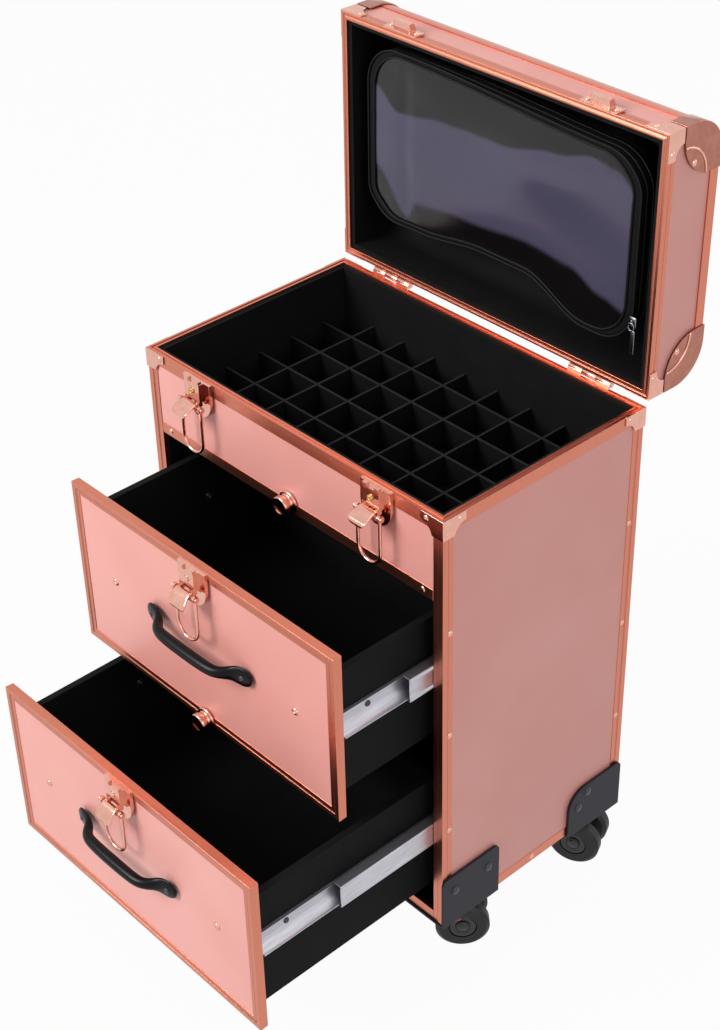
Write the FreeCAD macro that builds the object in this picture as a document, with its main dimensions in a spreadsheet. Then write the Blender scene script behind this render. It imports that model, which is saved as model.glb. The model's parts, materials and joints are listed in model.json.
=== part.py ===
import FreeCAD, Part
import math
import os
import Sketcher
from FreeCAD import Placement, Rotation, Vector

# Makeup train case on casters, with an open lid and two open drawers.
# Millimetres. The origin is on the floor under the middle of the case, +Z is up and the front faces -Y.

# Driving dimensions
SIZES = {
    "case_width": 340, "case_depth": 215, "case_height": 408, "wheel_space": 55,
    "post_width": 11, "frame_thick": 5.8, "frame_step": 0.6, "panel_recess": 1.2,
    "rim_height": 12, "bead_width": 2, "bead_height": 0.8, "foot_rail_height": 10,
    "cross_rail_drop": 76.5, "cross_rail_height": 10, "lining_thick": 4, "lining_gap": 2,
    "floor_thick": 5, "tray_floor_lift": 0.5, "tray_floor_thick": 4,
    "strip_thick": 2, "strip_height": 27, "strip_end_gap": 0.3,
    "long_strip_count": 5, "long_end_share": 0.43, "cross_strip_count": 8, "cross_end_share": 0.66,
    "front_side_gap": 2.75, "front_low_gap": 0.5, "front_mid_gap": 7.5, "front_top_gap": 2.5,
    "front_thick": 8, "edging_width": 9,
    "lower_open": 183, "upper_open": 95,
    "slide_space": 12.7, "box_end_gap": 6.2, "box_wall": 6, "box_lift": 17, "box_top_gap": 23.5,
    "box_floor": 4, "slide_rise": 8.25, "slide_sheet": 1.2,
    "cabinet_half": 13.4, "cabinet_start": 13, "cabinet_end_gap": 2.2, "cabinet_depth": 9.6,
    "middle_half": 11.2, "middle_gap": 0.4, "middle_short": 12, "middle_depth": 8.4,
    "upper_middle_start": -23, "lower_middle_start": -98,
    "drawer_half": 9, "drawer_member_depth": 9.3, "drawer_member_gap": 1,
    "handle_rise": 3.25, "handle_foot_x": 55, "handle_out": 16, "handle_bend": 10, "handle_radius": 4.6,
    "handle_foot_radius": 9.2, "handle_foot_thick": 2.6,
    "latch_drop": 8.5, "body_latch_inset": 67, "latch_plate_half": 16, "latch_plate_top": 8,
    "latch_plate_round": -9.5, "latch_plate_thick": 3, "latch_case_half": 9, "latch_case_height": 16,
    "latch_case_out": 8, "prong_inner": 4, "prong_outer": 8.5, "prong_rise": 2.5, "prong_start": 4.5,
    "key_radius": 2.7, "key_out": 0.8, "pivot_drop": 12, "pivot_out": 10, "pin_radius": 1.2,
    "pin_clearance": 0.05, "pin_half": 13.8, "pin_head_radius": 2.2, "pin_head": 0.8,
    "ear_inner": 5.3, "ear_outer": 8.3, "ear_radius": 3, "lever_knuckle": 2.4, "lever_knuckle_half": 4.9,
    "wing_half": 9, "wing_start": 3.8, "wing_end": 13.5, "wing_thick": 1.8, "wing_lip": 4.5,
    "body_lever_drop": 8, "drawer_lever_drop": 39,
    "bail_half": 12, "bail_wire": 1.4, "bail_length": 43.5, "bail_eye": 2.8,
    "stud_rise": 11.5, "stud_flange": 10, "stud_flange_thick": 2.2, "stud_neck": 6, "stud_head": 8.2,
    "stud_neck_end": 5.5, "stud_out": 10.5, "stud_round": 1,
    "hinge_out": 3.5, "hinge_rise": 2, "hinge_inset": 58, "hinge_half": 21.5, "knuckle_radius": 3,
    "hinge_third": 7, "hinge_side_gap": 0.4, "hinge_pin": 1.4, "leaf_thick": 1.2, "leaf_clear": 3.4,
    "leaf_height": 24, "lid_gap": 0.6, "lid_height": 60, "lid_open_angle": 90.8, "lid_rim_height": 10,
    "lid_round": 30, "round_rail_thick": 4, "edge_rail_width": 9, "edge_rail_sheet": 1.2,
    "cap_down": 42, "cap_along": 42, "cap_bulge": 33, "cap_sheet": 1.2, "cap_band": 14,
    "corner_sheet": 1, "corner_wide": 22, "corner_tall": 17, "corner_shoulder": 8, "corner_hollow": 11,
    "rivet_ball": 3.8, "rivet_angle": 48, "corner_rivet": 16.5, "corner_rivet_in": 4.5,
    "rivet_first": 103, "rivet_pitch": 100,
    "keeper_plate_half": 18, "keeper_plate_height": 11, "keeper_plate_thick": 1.2, "keeper_half": 9,
    "keeper_start": 2.6, "keeper_height": 8, "keeper_out": 8, "keeper_lip": 3,
    "pocket_side_gap": 10.2, "pocket_edge": 13, "pocket_start": 6, "pocket_thick": 24, "pocket_corner": 32,
    "pocket_taper": 8, "pocket_base_gap": 1,
    "bracket_sheet": 2, "bracket_inner": 60, "bracket_length": 65, "bracket_front_height": 51,
    "bracket_rear_height": 47, "bracket_round": 20, "bracket_corner": 5, "bracket_overhang": 1,
    "front_rivet_near": 14, "front_rivet_far": 52, "front_rivet_height": 34,
    "rear_rivet_near": 42.5, "rear_rivet_far": 53.5, "rear_rivet_high": 39, "rear_rivet_low": 27,
    "stem_radius": 4, "stem_clearance": 0.05, "stem_gap": 0.2,
    "caster_inset": 33, "caster_trail": 16, "wheel_radius": 23, "wheel_inner": 6,
    "wheel_width": 13, "wheel_shoulder": 3, "wheel_bevel": 2.5, "hub_radius": 12, "hub_boss": 6.5,
    "hub_recess": 1.5, "axle_radius": 4, "hood_radius": 21, "hood_bottom": 46.5, "hood_thick": 6.2,
    "web_half": 5.5, "web_back": -12, "web_front": 28, "web_foot": 9,
    "front_right_angle": 48.7, "rear_right_angle": 25, "front_left_angle": 200, "rear_left_angle": 120,
}

doc = FreeCAD.newDocument("TrainCase")
sheet = doc.addObject("Spreadsheet::Sheet", "Sizes")
for row, (alias, number) in enumerate(SIZES.items(), 1):
    sheet.set(f"A{row}", alias)
    sheet.set(f"B{row}", str(number))
    sheet.setAlias(f"B{row}", alias)
doc.recompute()


class Size:
    """A dimension that keeps both its number and its sheet formula."""

    def __init__(self, number, formula):
        self.number = number
        self.formula = formula

    def __add__(self, other):
        other = sized(other)
        return Size(self.number + other.number, f"({self.formula} + {other.formula})")

    def __sub__(self, other):
        other = sized(other)
        return Size(self.number - other.number, f"({self.formula} - {other.formula})")

    def __mul__(self, other):
        other = sized(other)
        return Size(self.number * other.number, f"({self.formula} * {other.formula})")

    def __truediv__(self, other):
        other = sized(other)
        return Size(self.number / other.number, f"({self.formula} / {other.formula})")

    def __neg__(self):
        return Size(-self.number, f"(0 - {self.formula})")

    def __radd__(self, other):
        return sized(other) + self

    def __rsub__(self, other):
        return sized(other) - self

    def __rmul__(self, other):
        return sized(other) * self


def sized(value):
    if isinstance(value, Size):
        return value
    return Size(float(value), f"({float(value):.6g})")


def cosine(angle):
    return Size(math.cos(math.radians(angle.number)), f"cos({angle.formula})")


def sine(angle):
    return Size(math.sin(math.radians(angle.number)), f"sin({angle.formula})")


class Sheet:
    """Gives each sheet cell by its name."""

    def __getattr__(self, alias):
        return Size(float(SIZES[alias]), f"Sizes.{alias}")


dim = Sheet()


# Helpers that make bound document objects
def bind(item, name, value):
    item.setExpression(name, sized(value).formula)


def put(item, x=0, y=0, z=0, axis=None, angle=0):
    x, y, z, angle = sized(x), sized(y), sized(z), sized(angle)
    turn = Rotation()
    if axis is not None:
        turn = Rotation(axis, angle.number)
    item.Placement = Placement(Vector(x.number, y.number, z.number), turn)
    bind(item, "Placement.Base.x", x)
    bind(item, "Placement.Base.y", y)
    bind(item, "Placement.Base.z", z)
    return item


def box(low, high):
    item = doc.addObject("Part::Box", "block")
    for name, start, end in zip(("Length", "Width", "Height"), low, high):
        bind(item, name, sized(end) - start)
    return put(item, *low)


AXIS_TURNS = {"x": (Vector(0, 1, 0), 90), "y": (Vector(1, 0, 0), -90), "z": (None, 0)}


def cylinder(axis, start, radius, length):
    item = doc.addObject("Part::Cylinder", "round")
    bind(item, "Radius", radius)
    bind(item, "Height", length)
    return put(item, *start, *AXIS_TURNS[axis])


def ring_part(centre, ring, tube, sweep, axis=None, angle=0):
    item = doc.addObject("Part::Torus", "bend")
    bind(item, "Radius1", ring)
    bind(item, "Radius2", tube)
    item.Angle3 = sweep
    return put(item, *centre, axis, angle)


def fuse(*pieces):
    item = doc.addObject("Part::MultiFuse", "joined")
    item.Shapes = list(pieces)
    return item


def cut(base, tool):
    item = doc.addObject("Part::Cut", "cut")
    item.Base = base
    item.Tool = tool
    return item


def gather(pieces):
    item = doc.addObject("Part::Compound", "set")
    item.Links = list(pieces)
    return item


def moved(piece, x=0, y=0, z=0, axis=None, angle=0):
    return put(gather([piece]), x, y, z, axis, angle)


def mirrored(piece, axis):
    item = doc.addObject("Part::Mirroring", "mirror")
    item.Source = piece
    item.Base = Vector(0, 0, 0)
    item.Normal = Vector(*[float(axis == name) for name in "xyz"])
    return item


def both(piece, axis="x"):
    return [piece, mirrored(piece, axis)]


def four(piece):
    pair = both(piece, "x")
    return pair + [mirrored(one, "y") for one in pair]


def arc_between(start, end, radius, side):
    """Arc from start to end, its centre to the left of the way for side 1 and to the right for -1."""
    along = end - start
    left = Vector(-along.y, along.x, 0).normalize()
    reach = math.sqrt(max(radius * radius - along.Length * along.Length / 4, 0))
    centre = (start + end) / 2 + left * side * reach
    first, last = (start, end) if side > 0 else (end, start)
    low = math.atan2(first.y - centre.y, first.x - centre.x)
    high = math.atan2(last.y - centre.y, last.x - centre.x)
    if high < low:
        high += 2 * math.pi
    return Part.ArcOfCircle(Part.Circle(centre, Vector(0, 0, 1), radius), low, high)


def pin_down(sketch, kind, index, end, value):
    """Holds a point of a sketch at a bound distance from the sketch's origin."""
    value = sized(value)
    number = sketch.addConstraint(Sketcher.Constraint(kind, -1, 1, index, end, value.number))
    sketch.setExpression(f"Constraints[{number}]", value.formula)


def draw(sketch, points):
    """Closed outline. A point is (u, v), or (u, v, radius, side) when an arc leaves it."""
    spots = [Vector(sized(p[0]).number, sized(p[1]).number, 0) for p in points]
    ends = []
    for index, point in enumerate(points):
        start, end = spots[index], spots[(index + 1) % len(points)]
        if len(point) == 2:
            sketch.addGeometry(Part.LineSegment(start, end), False)
            ends.append((1, 2))
            continue
        sketch.addGeometry(arc_between(start, end, sized(point[2]).number, point[3]), False)
        ends.append((1, 2) if point[3] > 0 else (2, 1))
    for index in range(len(points)):
        after = (index + 1) % len(points)
        sketch.addConstraint(Sketcher.Constraint("Coincident", index, ends[index][1], after, ends[after][0]))
    for index, point in enumerate(points):
        for kind, value in zip(("DistanceX", "DistanceY"), point):
            pin_down(sketch, kind, index, ends[index][0], value)
        if len(point) == 4:
            value = sized(point[2])
            number = sketch.addConstraint(Sketcher.Constraint("Radius", index, value.number))
            sketch.setExpression(f"Constraints[{number}]", value.formula)


def sketch_on(body, plane, offset):
    sketch = body.newObject("Sketcher::SketchObject", "outline")
    support = [item for item in body.Origin.OriginFeatures if item.Role == f"{plane}_Plane"][0]
    sketch.AttachmentSupport = [(support, "")]
    sketch.MapMode = "FlatFace"
    bind(sketch, "AttachmentOffset.Base.z", offset)
    return sketch


def prism(plane, layers):
    """Body padded from outlines. Each layer is (points, low, high) along the plane's world axis."""
    body = doc.addObject("PartDesign::Body", "profile")
    for points, low, high in layers:
        low, high = sized(low), sized(high)
        sketch = sketch_on(body, plane, -high if plane == "XZ" else low)
        draw(sketch, points)
        pad = body.newObject("PartDesign::Pad", "pad")
        pad.Profile = sketch
        bind(pad, "Length", high - low)
        body.Tip = pad
    return body


def turned(points):
    """Body turned about Y from (radius, y) points."""
    body = doc.addObject("PartDesign::Body", "turned")
    sketch = sketch_on(body, "XY", 0)
    draw(sketch, points)
    spin = body.newObject("PartDesign::Revolution", "spin")
    spin.Profile = sketch
    spin.ReferenceAxis = (sketch, ["V_Axis"])
    spin.Angle = 360
    body.Tip = spin
    return body


def bent_wire(half, reach, radius):
    """Round wire down one leg, round a half circle and up the other, from the XY plane."""
    body = doc.addObject("PartDesign::Body", "wire")
    path = sketch_on(body, "XZ", 0)
    half, reach = sized(half), sized(reach)
    tops = [Vector(-half.number, 0, 0), Vector(half.number, 0, 0)]
    feet = [Vector(-half.number, -reach.number, 0), Vector(half.number, -reach.number, 0)]
    path.addGeometry(Part.LineSegment(tops[0], feet[0]), False)
    circle = Part.Circle((feet[0] + feet[1]) / 2, Vector(0, 0, 1), half.number)
    path.addGeometry(Part.ArcOfCircle(circle, math.pi, 2 * math.pi), False)
    path.addGeometry(Part.LineSegment(feet[1], tops[1]), False)
    path.addConstraint(Sketcher.Constraint("Coincident", 0, 2, 1, 1))
    path.addConstraint(Sketcher.Constraint("Coincident", 1, 2, 2, 1))
    spots = ((0, 1, -half, 0), (0, 2, -half, -reach), (2, 1, half, -reach), (2, 2, half, 0))
    for index, end, x, y in spots:
        pin_down(path, "DistanceX", index, end, x)
        pin_down(path, "DistanceY", index, end, y)
    pin_down(path, "DistanceY", 1, 3, -reach)
    ring = sketch_on(body, "XY", 0)
    ring.addGeometry(Part.Circle(tops[0], Vector(0, 0, 1), sized(radius).number), False)
    pin_down(ring, "DistanceX", 0, 3, -half)
    pin_down(ring, "DistanceY", 0, 3, 0)
    number = ring.addConstraint(Sketcher.Constraint("Radius", 0, sized(radius).number))
    ring.setExpression(f"Constraints[{number}]", sized(radius).formula)
    pipe = body.newObject("PartDesign::AdditivePipe", "bend")
    pipe.Profile = ring
    pipe.Spine = (path, ["Edge1", "Edge2", "Edge3"])
    body.Tip = pipe
    return body


nodes = []


def node(label, pieces):
    item = gather(pieces)
    item.Label = label
    nodes.append(item)
    return item


# Shared planes of the case
half_w = dim.case_width / 2
half_d = dim.case_depth / 2
base = dim.wheel_space
rim = base + dim.case_height
frame_in = dim.frame_thick
wall_x = half_w - frame_in
wall_y = half_d - frame_in
inner_x = wall_x - dim.lining_thick
inner_y = wall_y - dim.lining_thick
post_in_x = half_w - dim.post_width
post_in_y = half_d - dim.post_width
rim_low = rim - dim.rim_height
panel_x = half_w - dim.panel_recess
panel_y = half_d - dim.panel_recess
cross_low = rim - dim.cross_rail_drop
cross_high = cross_low + dim.cross_rail_height
foot_top = base + dim.foot_rail_height
front_gaps = dim.front_low_gap + dim.front_mid_gap + dim.front_top_gap
front_height = (cross_low - foot_top - front_gaps) / 2
half_front = post_in_x - dim.front_side_gap
lower_low = foot_top + dim.front_low_gap
upper_low = lower_low + front_height + dim.front_mid_gap
upper_top = upper_low + front_height
lower_top = lower_low + front_height
clear_depth = half_d + inner_y
box_half = inner_x - dim.slide_space
box_length = clear_depth - dim.front_thick - dim.box_end_gap
box_height = front_height - dim.box_lift - dim.box_top_gap
cabinet_length = clear_depth - dim.cabinet_start - dim.cabinet_end_gap
middle_length = cabinet_length - dim.middle_short
body_latch_x = half_w - dim.body_latch_inset
hinge_x = half_w - dim.hinge_inset
caster_x = half_w - dim.caster_inset
caster_y = half_d - dim.caster_inset

# Corner posts: stepped angle sections
half_post = dim.post_width / 2
post_corner = [
    (0, 0), (half_post, 0), (half_post, dim.frame_step), (dim.post_width, dim.frame_step),
    (dim.post_width, frame_in), (frame_in, frame_in), (frame_in, dim.post_width),
    (dim.frame_step, dim.post_width), (dim.frame_step, half_post), (0, half_post),
]
post_points = [(half_w - u, half_d - v) for u, v in post_corner]
post = prism("XY", [(post_points, base, rim_low)])
node("corner_posts", four(post))


def mitred(half_length, half_across, outer, inner):
    """Trapezoid along the first axis at the far side of the second."""
    long_end = half_length - outer
    short_end = half_length - inner
    far = half_across - outer
    near = half_across - inner
    return [(-long_end, far), (long_end, far), (short_end, near), (-short_end, near)]


def swapped(points):
    return [(v, u) for u, v in points]


def rim_ring(edge, height, way):
    """Four mitred rails. The beaded edge lies at height edge and the rail reaches back from it."""
    depth_beads = edge - way * dim.bead_height
    depth_step = edge - way * height / 2
    depth_end = edge - way * height
    layers = [
        (dim.frame_step, frame_in, depth_end, depth_step),
        (0, frame_in, depth_step, depth_beads),
        (0, dim.bead_width, depth_beads, edge),
        (frame_in - dim.bead_width, frame_in, depth_beads, edge),
    ]
    long_layers = []
    short_layers = []
    for outer, inner, start, end in layers:
        low, high = (start, end) if way > 0 else (end, start)
        long_layers.append((mitred(half_w, half_d, outer, inner), low, high))
        short_layers.append((swapped(mitred(half_d, half_w, outer, inner)), low, high))
    return both(prism("XY", long_layers), "y") + both(prism("XY", short_layers), "x")


node("rim_rails", rim_ring(rim, dim.rim_height, 1))

# Foot rails and the cross rail between the posts
rail_x = half_w - dim.frame_step
rail_y = half_d - dim.frame_step
foot_back = box((-post_in_x, wall_y, base), (post_in_x, rail_y, foot_top))
foot_side = box((wall_x, -post_in_y, base), (rail_x, post_in_y, foot_top))
cross_rail = box((-post_in_x, -rail_y, cross_low), (post_in_x, -wall_y, cross_high))
node("lower_rails", both(foot_back, "y") + both(foot_side) + [cross_rail])

# Panels, boards and lining
node("front_panel", [box((-post_in_x, -panel_y, cross_high), (post_in_x, -wall_y, rim_low))])
side_panel = box((wall_x, -post_in_y, foot_top), (panel_x, post_in_y, rim_low))
back_panel = box((-post_in_x, wall_y, foot_top), (post_in_x, panel_y, rim_low))
node("wall_panels", both(side_panel) + [back_panel])
floor_top = base + dim.floor_thick
node("bottom_board", [box((-wall_x, -wall_y, base), (wall_x, wall_y, floor_top))])
tray_low = cross_low + dim.tray_floor_lift
tray_high = tray_low + dim.tray_floor_thick
node("tray_floor", [box((-inner_x, -inner_y, tray_low), (inner_x, inner_y, tray_high))])
lining_top = rim - dim.lining_gap
side_lining = box((inner_x, -wall_y, floor_top), (wall_x, wall_y, lining_top))
back_lining = box((-inner_x, inner_y, floor_top), (inner_x, wall_y, lining_top))
front_lining = box((-inner_x, -wall_y, tray_low), (inner_x, -inner_y, lining_top))
node("lining_boards", both(side_lining) + [back_lining, front_lining])

# Divider strips halved into each other where they cross
strip_half = dim.strip_thick / 2
strip_x = inner_x - dim.strip_end_gap
strip_y = inner_y - dim.strip_end_gap
strip_top = tray_high + dim.strip_height
strip_mid = tray_high + dim.strip_height / 2
long_pitch = inner_y * 2 / (dim.long_strip_count + dim.long_end_share)
cross_pitch = inner_x * 2 / (dim.cross_strip_count + dim.cross_end_share)


def long_bars(half_thick, low, high):
    bars = []
    for index in range(SIZES["long_strip_count"]):
        y = long_pitch * (index - (SIZES["long_strip_count"] - 1) / 2)
        bars.append(box((-strip_x, y - half_thick, low), (strip_x, y + half_thick, high)))
    return bars


def cross_bars(half_thick, low, high):
    bars = []
    for index in range(SIZES["cross_strip_count"]):
        x = cross_pitch * (index + 1) - inner_x
        bars.append(box((x - half_thick, -strip_y, low), (x + half_thick, strip_y, high)))
    return bars


slot_half = strip_half + dim.strip_end_gap / 2
long_strips = cut(gather(long_bars(strip_half, tray_high, strip_top)),
                  gather(cross_bars(slot_half, strip_mid, strip_top + dim.strip_thick)))
cross_strips = cut(gather(cross_bars(strip_half, tray_high, strip_top)),
                   gather(long_bars(slot_half, tray_high - dim.strip_thick, strip_mid + dim.strip_end_gap)))
node("tray_divider_strips", [long_strips, cross_strips])


# Telescopic slides: three nested channels on each side of each drawer
def channel(web, back, end, half, height, start, length):
    """Channel with its web at web, the web's inner face at back and its flanges reaching to end."""
    sheet_in = half - dim.slide_sheet
    points = [(web, -half), (web, half), (end, half), (end, sheet_in),
              (back, sheet_in), (back, -sheet_in), (end, -sheet_in), (end, -half)]
    points = [(x, height + z) for x, z in points]
    low = start - half_d
    return prism("XZ", [(points, low, low + length)])


def cabinet_member(height):
    back = inner_x - dim.slide_sheet
    return channel(inner_x, back, inner_x - dim.cabinet_depth, dim.cabinet_half, height,
                   dim.cabinet_start, cabinet_length)


def middle_member(height, start):
    web = inner_x - dim.slide_sheet - dim.middle_gap
    return channel(web, web - dim.slide_sheet, web - dim.middle_depth, dim.middle_half, height,
                   start, middle_length)


def drawer_member(height):
    web = box_half
    return channel(web, web + dim.slide_sheet, web + dim.drawer_member_depth, dim.drawer_half, height,
                   dim.front_thick + dim.drawer_member_gap, box_length - dim.drawer_member_gap)


upper_slide = upper_low + front_height / 2 + dim.slide_rise
lower_slide = lower_low + front_height / 2 + dim.slide_rise
cabinet_members = both(cabinet_member(upper_slide)) + both(cabinet_member(lower_slide))
node("slide_cabinet_members", cabinet_members)
node("upper_slide_middle_members", both(middle_member(upper_slide, dim.upper_middle_start)))
node("lower_slide_middle_members", both(middle_member(lower_slide, dim.lower_middle_start)))

# Bow handle, standing out along -Y
foot_x = dim.handle_foot_x
bend_x = foot_x - dim.handle_bend
bend_y = dim.handle_out - dim.handle_bend
up = Vector(0, 0, 1)
grip = cylinder("x", (-bend_x, dim.handle_out, 0), dim.handle_radius, bend_x * 2)
right_bend = ring_part((bend_x, bend_y, 0), dim.handle_bend, dim.handle_radius, 90)
left_bend = ring_part((-bend_x, bend_y, 0), dim.handle_bend, dim.handle_radius, 90, up, 90)
right_leg = cylinder("y", (foot_x, 0, 0), dim.handle_radius, bend_y)
left_leg = cylinder("y", (-foot_x, 0, 0), dim.handle_radius, bend_y)
right_foot = cylinder("y", (foot_x, 0, 0), dim.handle_foot_radius, dim.handle_foot_thick)
left_foot = cylinder("y", (-foot_x, 0, 0), dim.handle_foot_radius, dim.handle_foot_thick)
handle = fuse(grip, right_bend, left_bend, right_leg, left_leg, right_foot, left_foot)

# Latch with its lock case, thumb lever and wire bail, standing out along -Y from its own origin
plate_half = dim.latch_plate_half
plate_points = [(plate_half, dim.latch_plate_top), (-plate_half, dim.latch_plate_top),
                (-plate_half, dim.latch_plate_round, plate_half, 1),
                (0, dim.latch_plate_round - plate_half, plate_half, 1), (plate_half, dim.latch_plate_round)]
latch_plate = prism("XZ", [(plate_points, -dim.latch_plate_thick, 0)])
case_half_height = dim.latch_case_height / 2
case_block = box((-dim.latch_case_half, -dim.latch_case_out, -case_half_height),
                 (dim.latch_case_half, -dim.latch_plate_thick, case_half_height))
prong = box((dim.prong_inner, -dim.latch_case_out, case_half_height),
            (dim.prong_outer, -dim.prong_start, case_half_height + dim.prong_rise))
ear_block = box((dim.ear_inner, -dim.pivot_out, -dim.pivot_drop),
                (dim.ear_outer, -dim.prong_start, -case_half_height))
ear_round = cylinder("x", (dim.ear_inner, -dim.pivot_out, -dim.pivot_drop), dim.ear_radius,
                     dim.ear_outer - dim.ear_inner)
pin_hole = dim.pin_radius + dim.pin_clearance
pivot_start = (-dim.pin_half, -dim.pivot_out, -dim.pivot_drop)
pivot_bore = cylinder("x", pivot_start, pin_hole, dim.pin_half * 2)
case_parts = [case_block] + both(prong) + both(ear_block) + both(ear_round)
latch_case = cut(fuse(*case_parts), pivot_bore)
key_cylinder = cylinder("y", (0, -dim.latch_case_out - dim.key_out, 0), dim.key_radius, dim.key_out)
pin_shaft = cylinder("x", pivot_start, dim.pin_radius, dim.pin_half * 2)
pin_head = cylinder("x", (dim.pin_half, -dim.pivot_out, -dim.pivot_drop), dim.pin_head_radius, dim.pin_head)
latch_pin = fuse(pin_shaft, *both(pin_head))
latch_fixed = gather([latch_plate, latch_case, key_cylinder, latch_pin])

# Thumb lever with a turned-down lip, drawn about its own pin
half_wing = dim.wing_thick / 2
lever_knuckle = cylinder("x", (-dim.lever_knuckle_half, 0, 0), dim.lever_knuckle, dim.lever_knuckle_half * 2)
wing = box((-dim.wing_half, -dim.wing_end, -half_wing), (dim.wing_half, -dim.wing_start, half_wing))
wing_lip = box((-dim.wing_half, -dim.wing_end, -dim.wing_lip),
               (dim.wing_half, dim.wing_thick - dim.wing_end, half_wing))
neck = box((-dim.lever_knuckle_half, -dim.wing_start, -half_wing), (dim.lever_knuckle_half, 0, half_wing))
lever_bore = cylinder("x", (-dim.pin_half, 0, 0), pin_hole, dim.pin_half * 2)
lever = cut(fuse(lever_knuckle, wing, wing_lip, neck), lever_bore)


def lever_node(label, x, face, height, drop):
    """Thumb lever of the latch at a point of a face, turned down on its pin."""
    item = node(label, [lever])
    put(item, x, face - dim.pivot_out, height - dim.pivot_drop, Vector(1, 0, 0), drop)
    bind(item, "Placement.Rotation.Angle", drop)


bail_wire = bent_wire(dim.bail_half, dim.bail_length - dim.bail_half, dim.bail_wire)
put(bail_wire, 0, -dim.pivot_out, -dim.pivot_drop)
bail_eye = cylinder("x", (dim.bail_half - dim.bail_wire, -dim.pivot_out, -dim.pivot_drop), dim.bail_eye,
                    dim.bail_wire * 2)
bail = cut(fuse(bail_wire, *both(bail_eye)), pivot_bore)

# Knobbed stud that a bail hooks over
stud_shoulder = dim.stud_head - dim.stud_round
stud = turned([
    (0, 0), (dim.stud_flange, 0), (dim.stud_flange, -dim.stud_flange_thick),
    (dim.stud_neck, -dim.stud_flange_thick), (dim.stud_neck, -dim.stud_neck_end),
    (dim.stud_head, -dim.stud_neck_end), (dim.stud_head, dim.stud_round - dim.stud_out),
    (stud_shoulder, -dim.stud_out), (0, -dim.stud_out),
])

latch_z = rim - dim.latch_drop
body_latches = [moved(latch_fixed, side * body_latch_x, -half_d, latch_z) for side in (-1, 1)]
node("body_latch_cases", body_latches)
for name, side in (("left", -1), ("right", 1)):
    place = (side * body_latch_x, -half_d, latch_z)
    lever_node(f"{name}_latch_lever", *place, dim.body_lever_drop)
    put(node(f"{name}_latch_bail", [bail]), *place)
put(node("panel_stud", [stud]), 0, -rail_y, upper_top + dim.stud_rise)


# Drawers, modelled shut and set out by their opening
def drawer(name, low, opened, slide):
    high = low + front_height
    middle = (low + high) / 2
    half_tall = front_height / 2
    face = -half_d
    behind = face + dim.front_thick
    inset = dim.edging_width
    half_edge = dim.edging_width / 2
    pieces = {}
    panel_low = (-half_front + inset, face + dim.frame_step * 2, low + inset)
    panel_high = (half_front - inset, behind, high - inset)
    pieces["front_panel"] = [box(panel_low, panel_high)]
    top = []
    side = []
    for outer, inner, start in ((0, half_edge, face), (half_edge, inset, face + dim.frame_step)):
        bar = mitred(half_front, half_tall, outer, inner)
        post_bar = swapped(mitred(half_tall, half_front, outer, inner))
        top.append((bar, start, behind))
        side.append((post_bar, start, behind))
    edging = both(prism("XZ", top), "z") + both(prism("XZ", side), "x")
    pieces["front_edging"] = [moved(piece, 0, 0, middle) for piece in edging]
    box_low = low + dim.box_lift
    box_high = box_low + box_height
    outside = box_half
    inside = outside - dim.box_wall
    back = behind + box_length
    floor_high = box_low + dim.box_floor
    wall = box((inside, behind, box_low), (outside, back, box_high))
    front_board = box((-inside, behind, floor_high), (inside, behind + dim.box_wall, box_high))
    back_board = box((-inside, back - dim.box_wall, floor_high), (inside, back, box_high))
    floor = box((-inside, behind, box_low), (inside, back, floor_high))
    pieces["drawer_box"] = both(wall) + [front_board, back_board, floor]
    pieces["slide_drawer_members"] = both(drawer_member(slide))
    for part_name, parts in pieces.items():
        put(node(f"{name}_{part_name}", parts), 0, -opened, 0)
    front_y = face - opened
    put(node(f"{name}_handle", [handle]), 0, front_y, middle + dim.handle_rise, up, 180)
    place = (0, front_y, high - dim.latch_drop)
    put(node(f"{name}_latch_case", [latch_fixed]), *place)
    lever_node(f"{name}_latch_lever", *place, dim.drawer_lever_drop)
    put(node(f"{name}_latch_bail", [bail]), *place)


drawer("upper", upper_low, dim.upper_open, upper_slide)
drawer("lower", lower_low, dim.lower_open, lower_slide)
put(node("upper_stud", [stud]), 0, -half_d - dim.upper_open, lower_top + dim.stud_rise)

# Rear hinges
hinge_y = half_d + dim.hinge_out
hinge_z = rim + dim.hinge_rise
pin_bore = cylinder("x", (-dim.hinge_half - 1, hinge_y, hinge_z), dim.hinge_pin + dim.pin_clearance,
                    dim.hinge_half * 2 + 2)
outer_start = dim.hinge_third + dim.hinge_side_gap
outer_length = dim.hinge_half - outer_start
leaf_back = half_d + dim.leaf_thick
leaf_top = hinge_z - dim.leaf_clear
body_leaf = box((-dim.hinge_half, half_d, hinge_z - dim.leaf_height), (dim.hinge_half, leaf_back, leaf_top))
body_tab = box((outer_start, half_d, leaf_top), (dim.hinge_half, leaf_back, hinge_z))
body_knuckle = cylinder("x", (outer_start, hinge_y, hinge_z), dim.knuckle_radius, outer_length)
case_leaf = cut(fuse(body_leaf, *both(body_tab), *both(body_knuckle)), pin_bore)
lid_leaf_low = hinge_z + dim.leaf_clear
lid_plate = box((-dim.hinge_half, half_d, lid_leaf_low),
                (dim.hinge_half, leaf_back, hinge_z + dim.leaf_height))
lid_tab = box((-dim.hinge_third, half_d, hinge_z), (dim.hinge_third, leaf_back, lid_leaf_low))
lid_knuckle = cylinder("x", (-dim.hinge_third, hinge_y, hinge_z), dim.knuckle_radius, dim.hinge_third * 2)
lid_leaf = cut(fuse(lid_plate, lid_tab, lid_knuckle), pin_bore)
hinge_pin = cylinder("x", (-dim.hinge_half, hinge_y, hinge_z), dim.hinge_pin, dim.hinge_half * 2)
hinge_sides = (-hinge_x, hinge_x)
node("case_hinge_leaves", [moved(case_leaf, x) for x in hinge_sides])
node("hinge_pins", [moved(hinge_pin, x) for x in hinge_sides])


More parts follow.
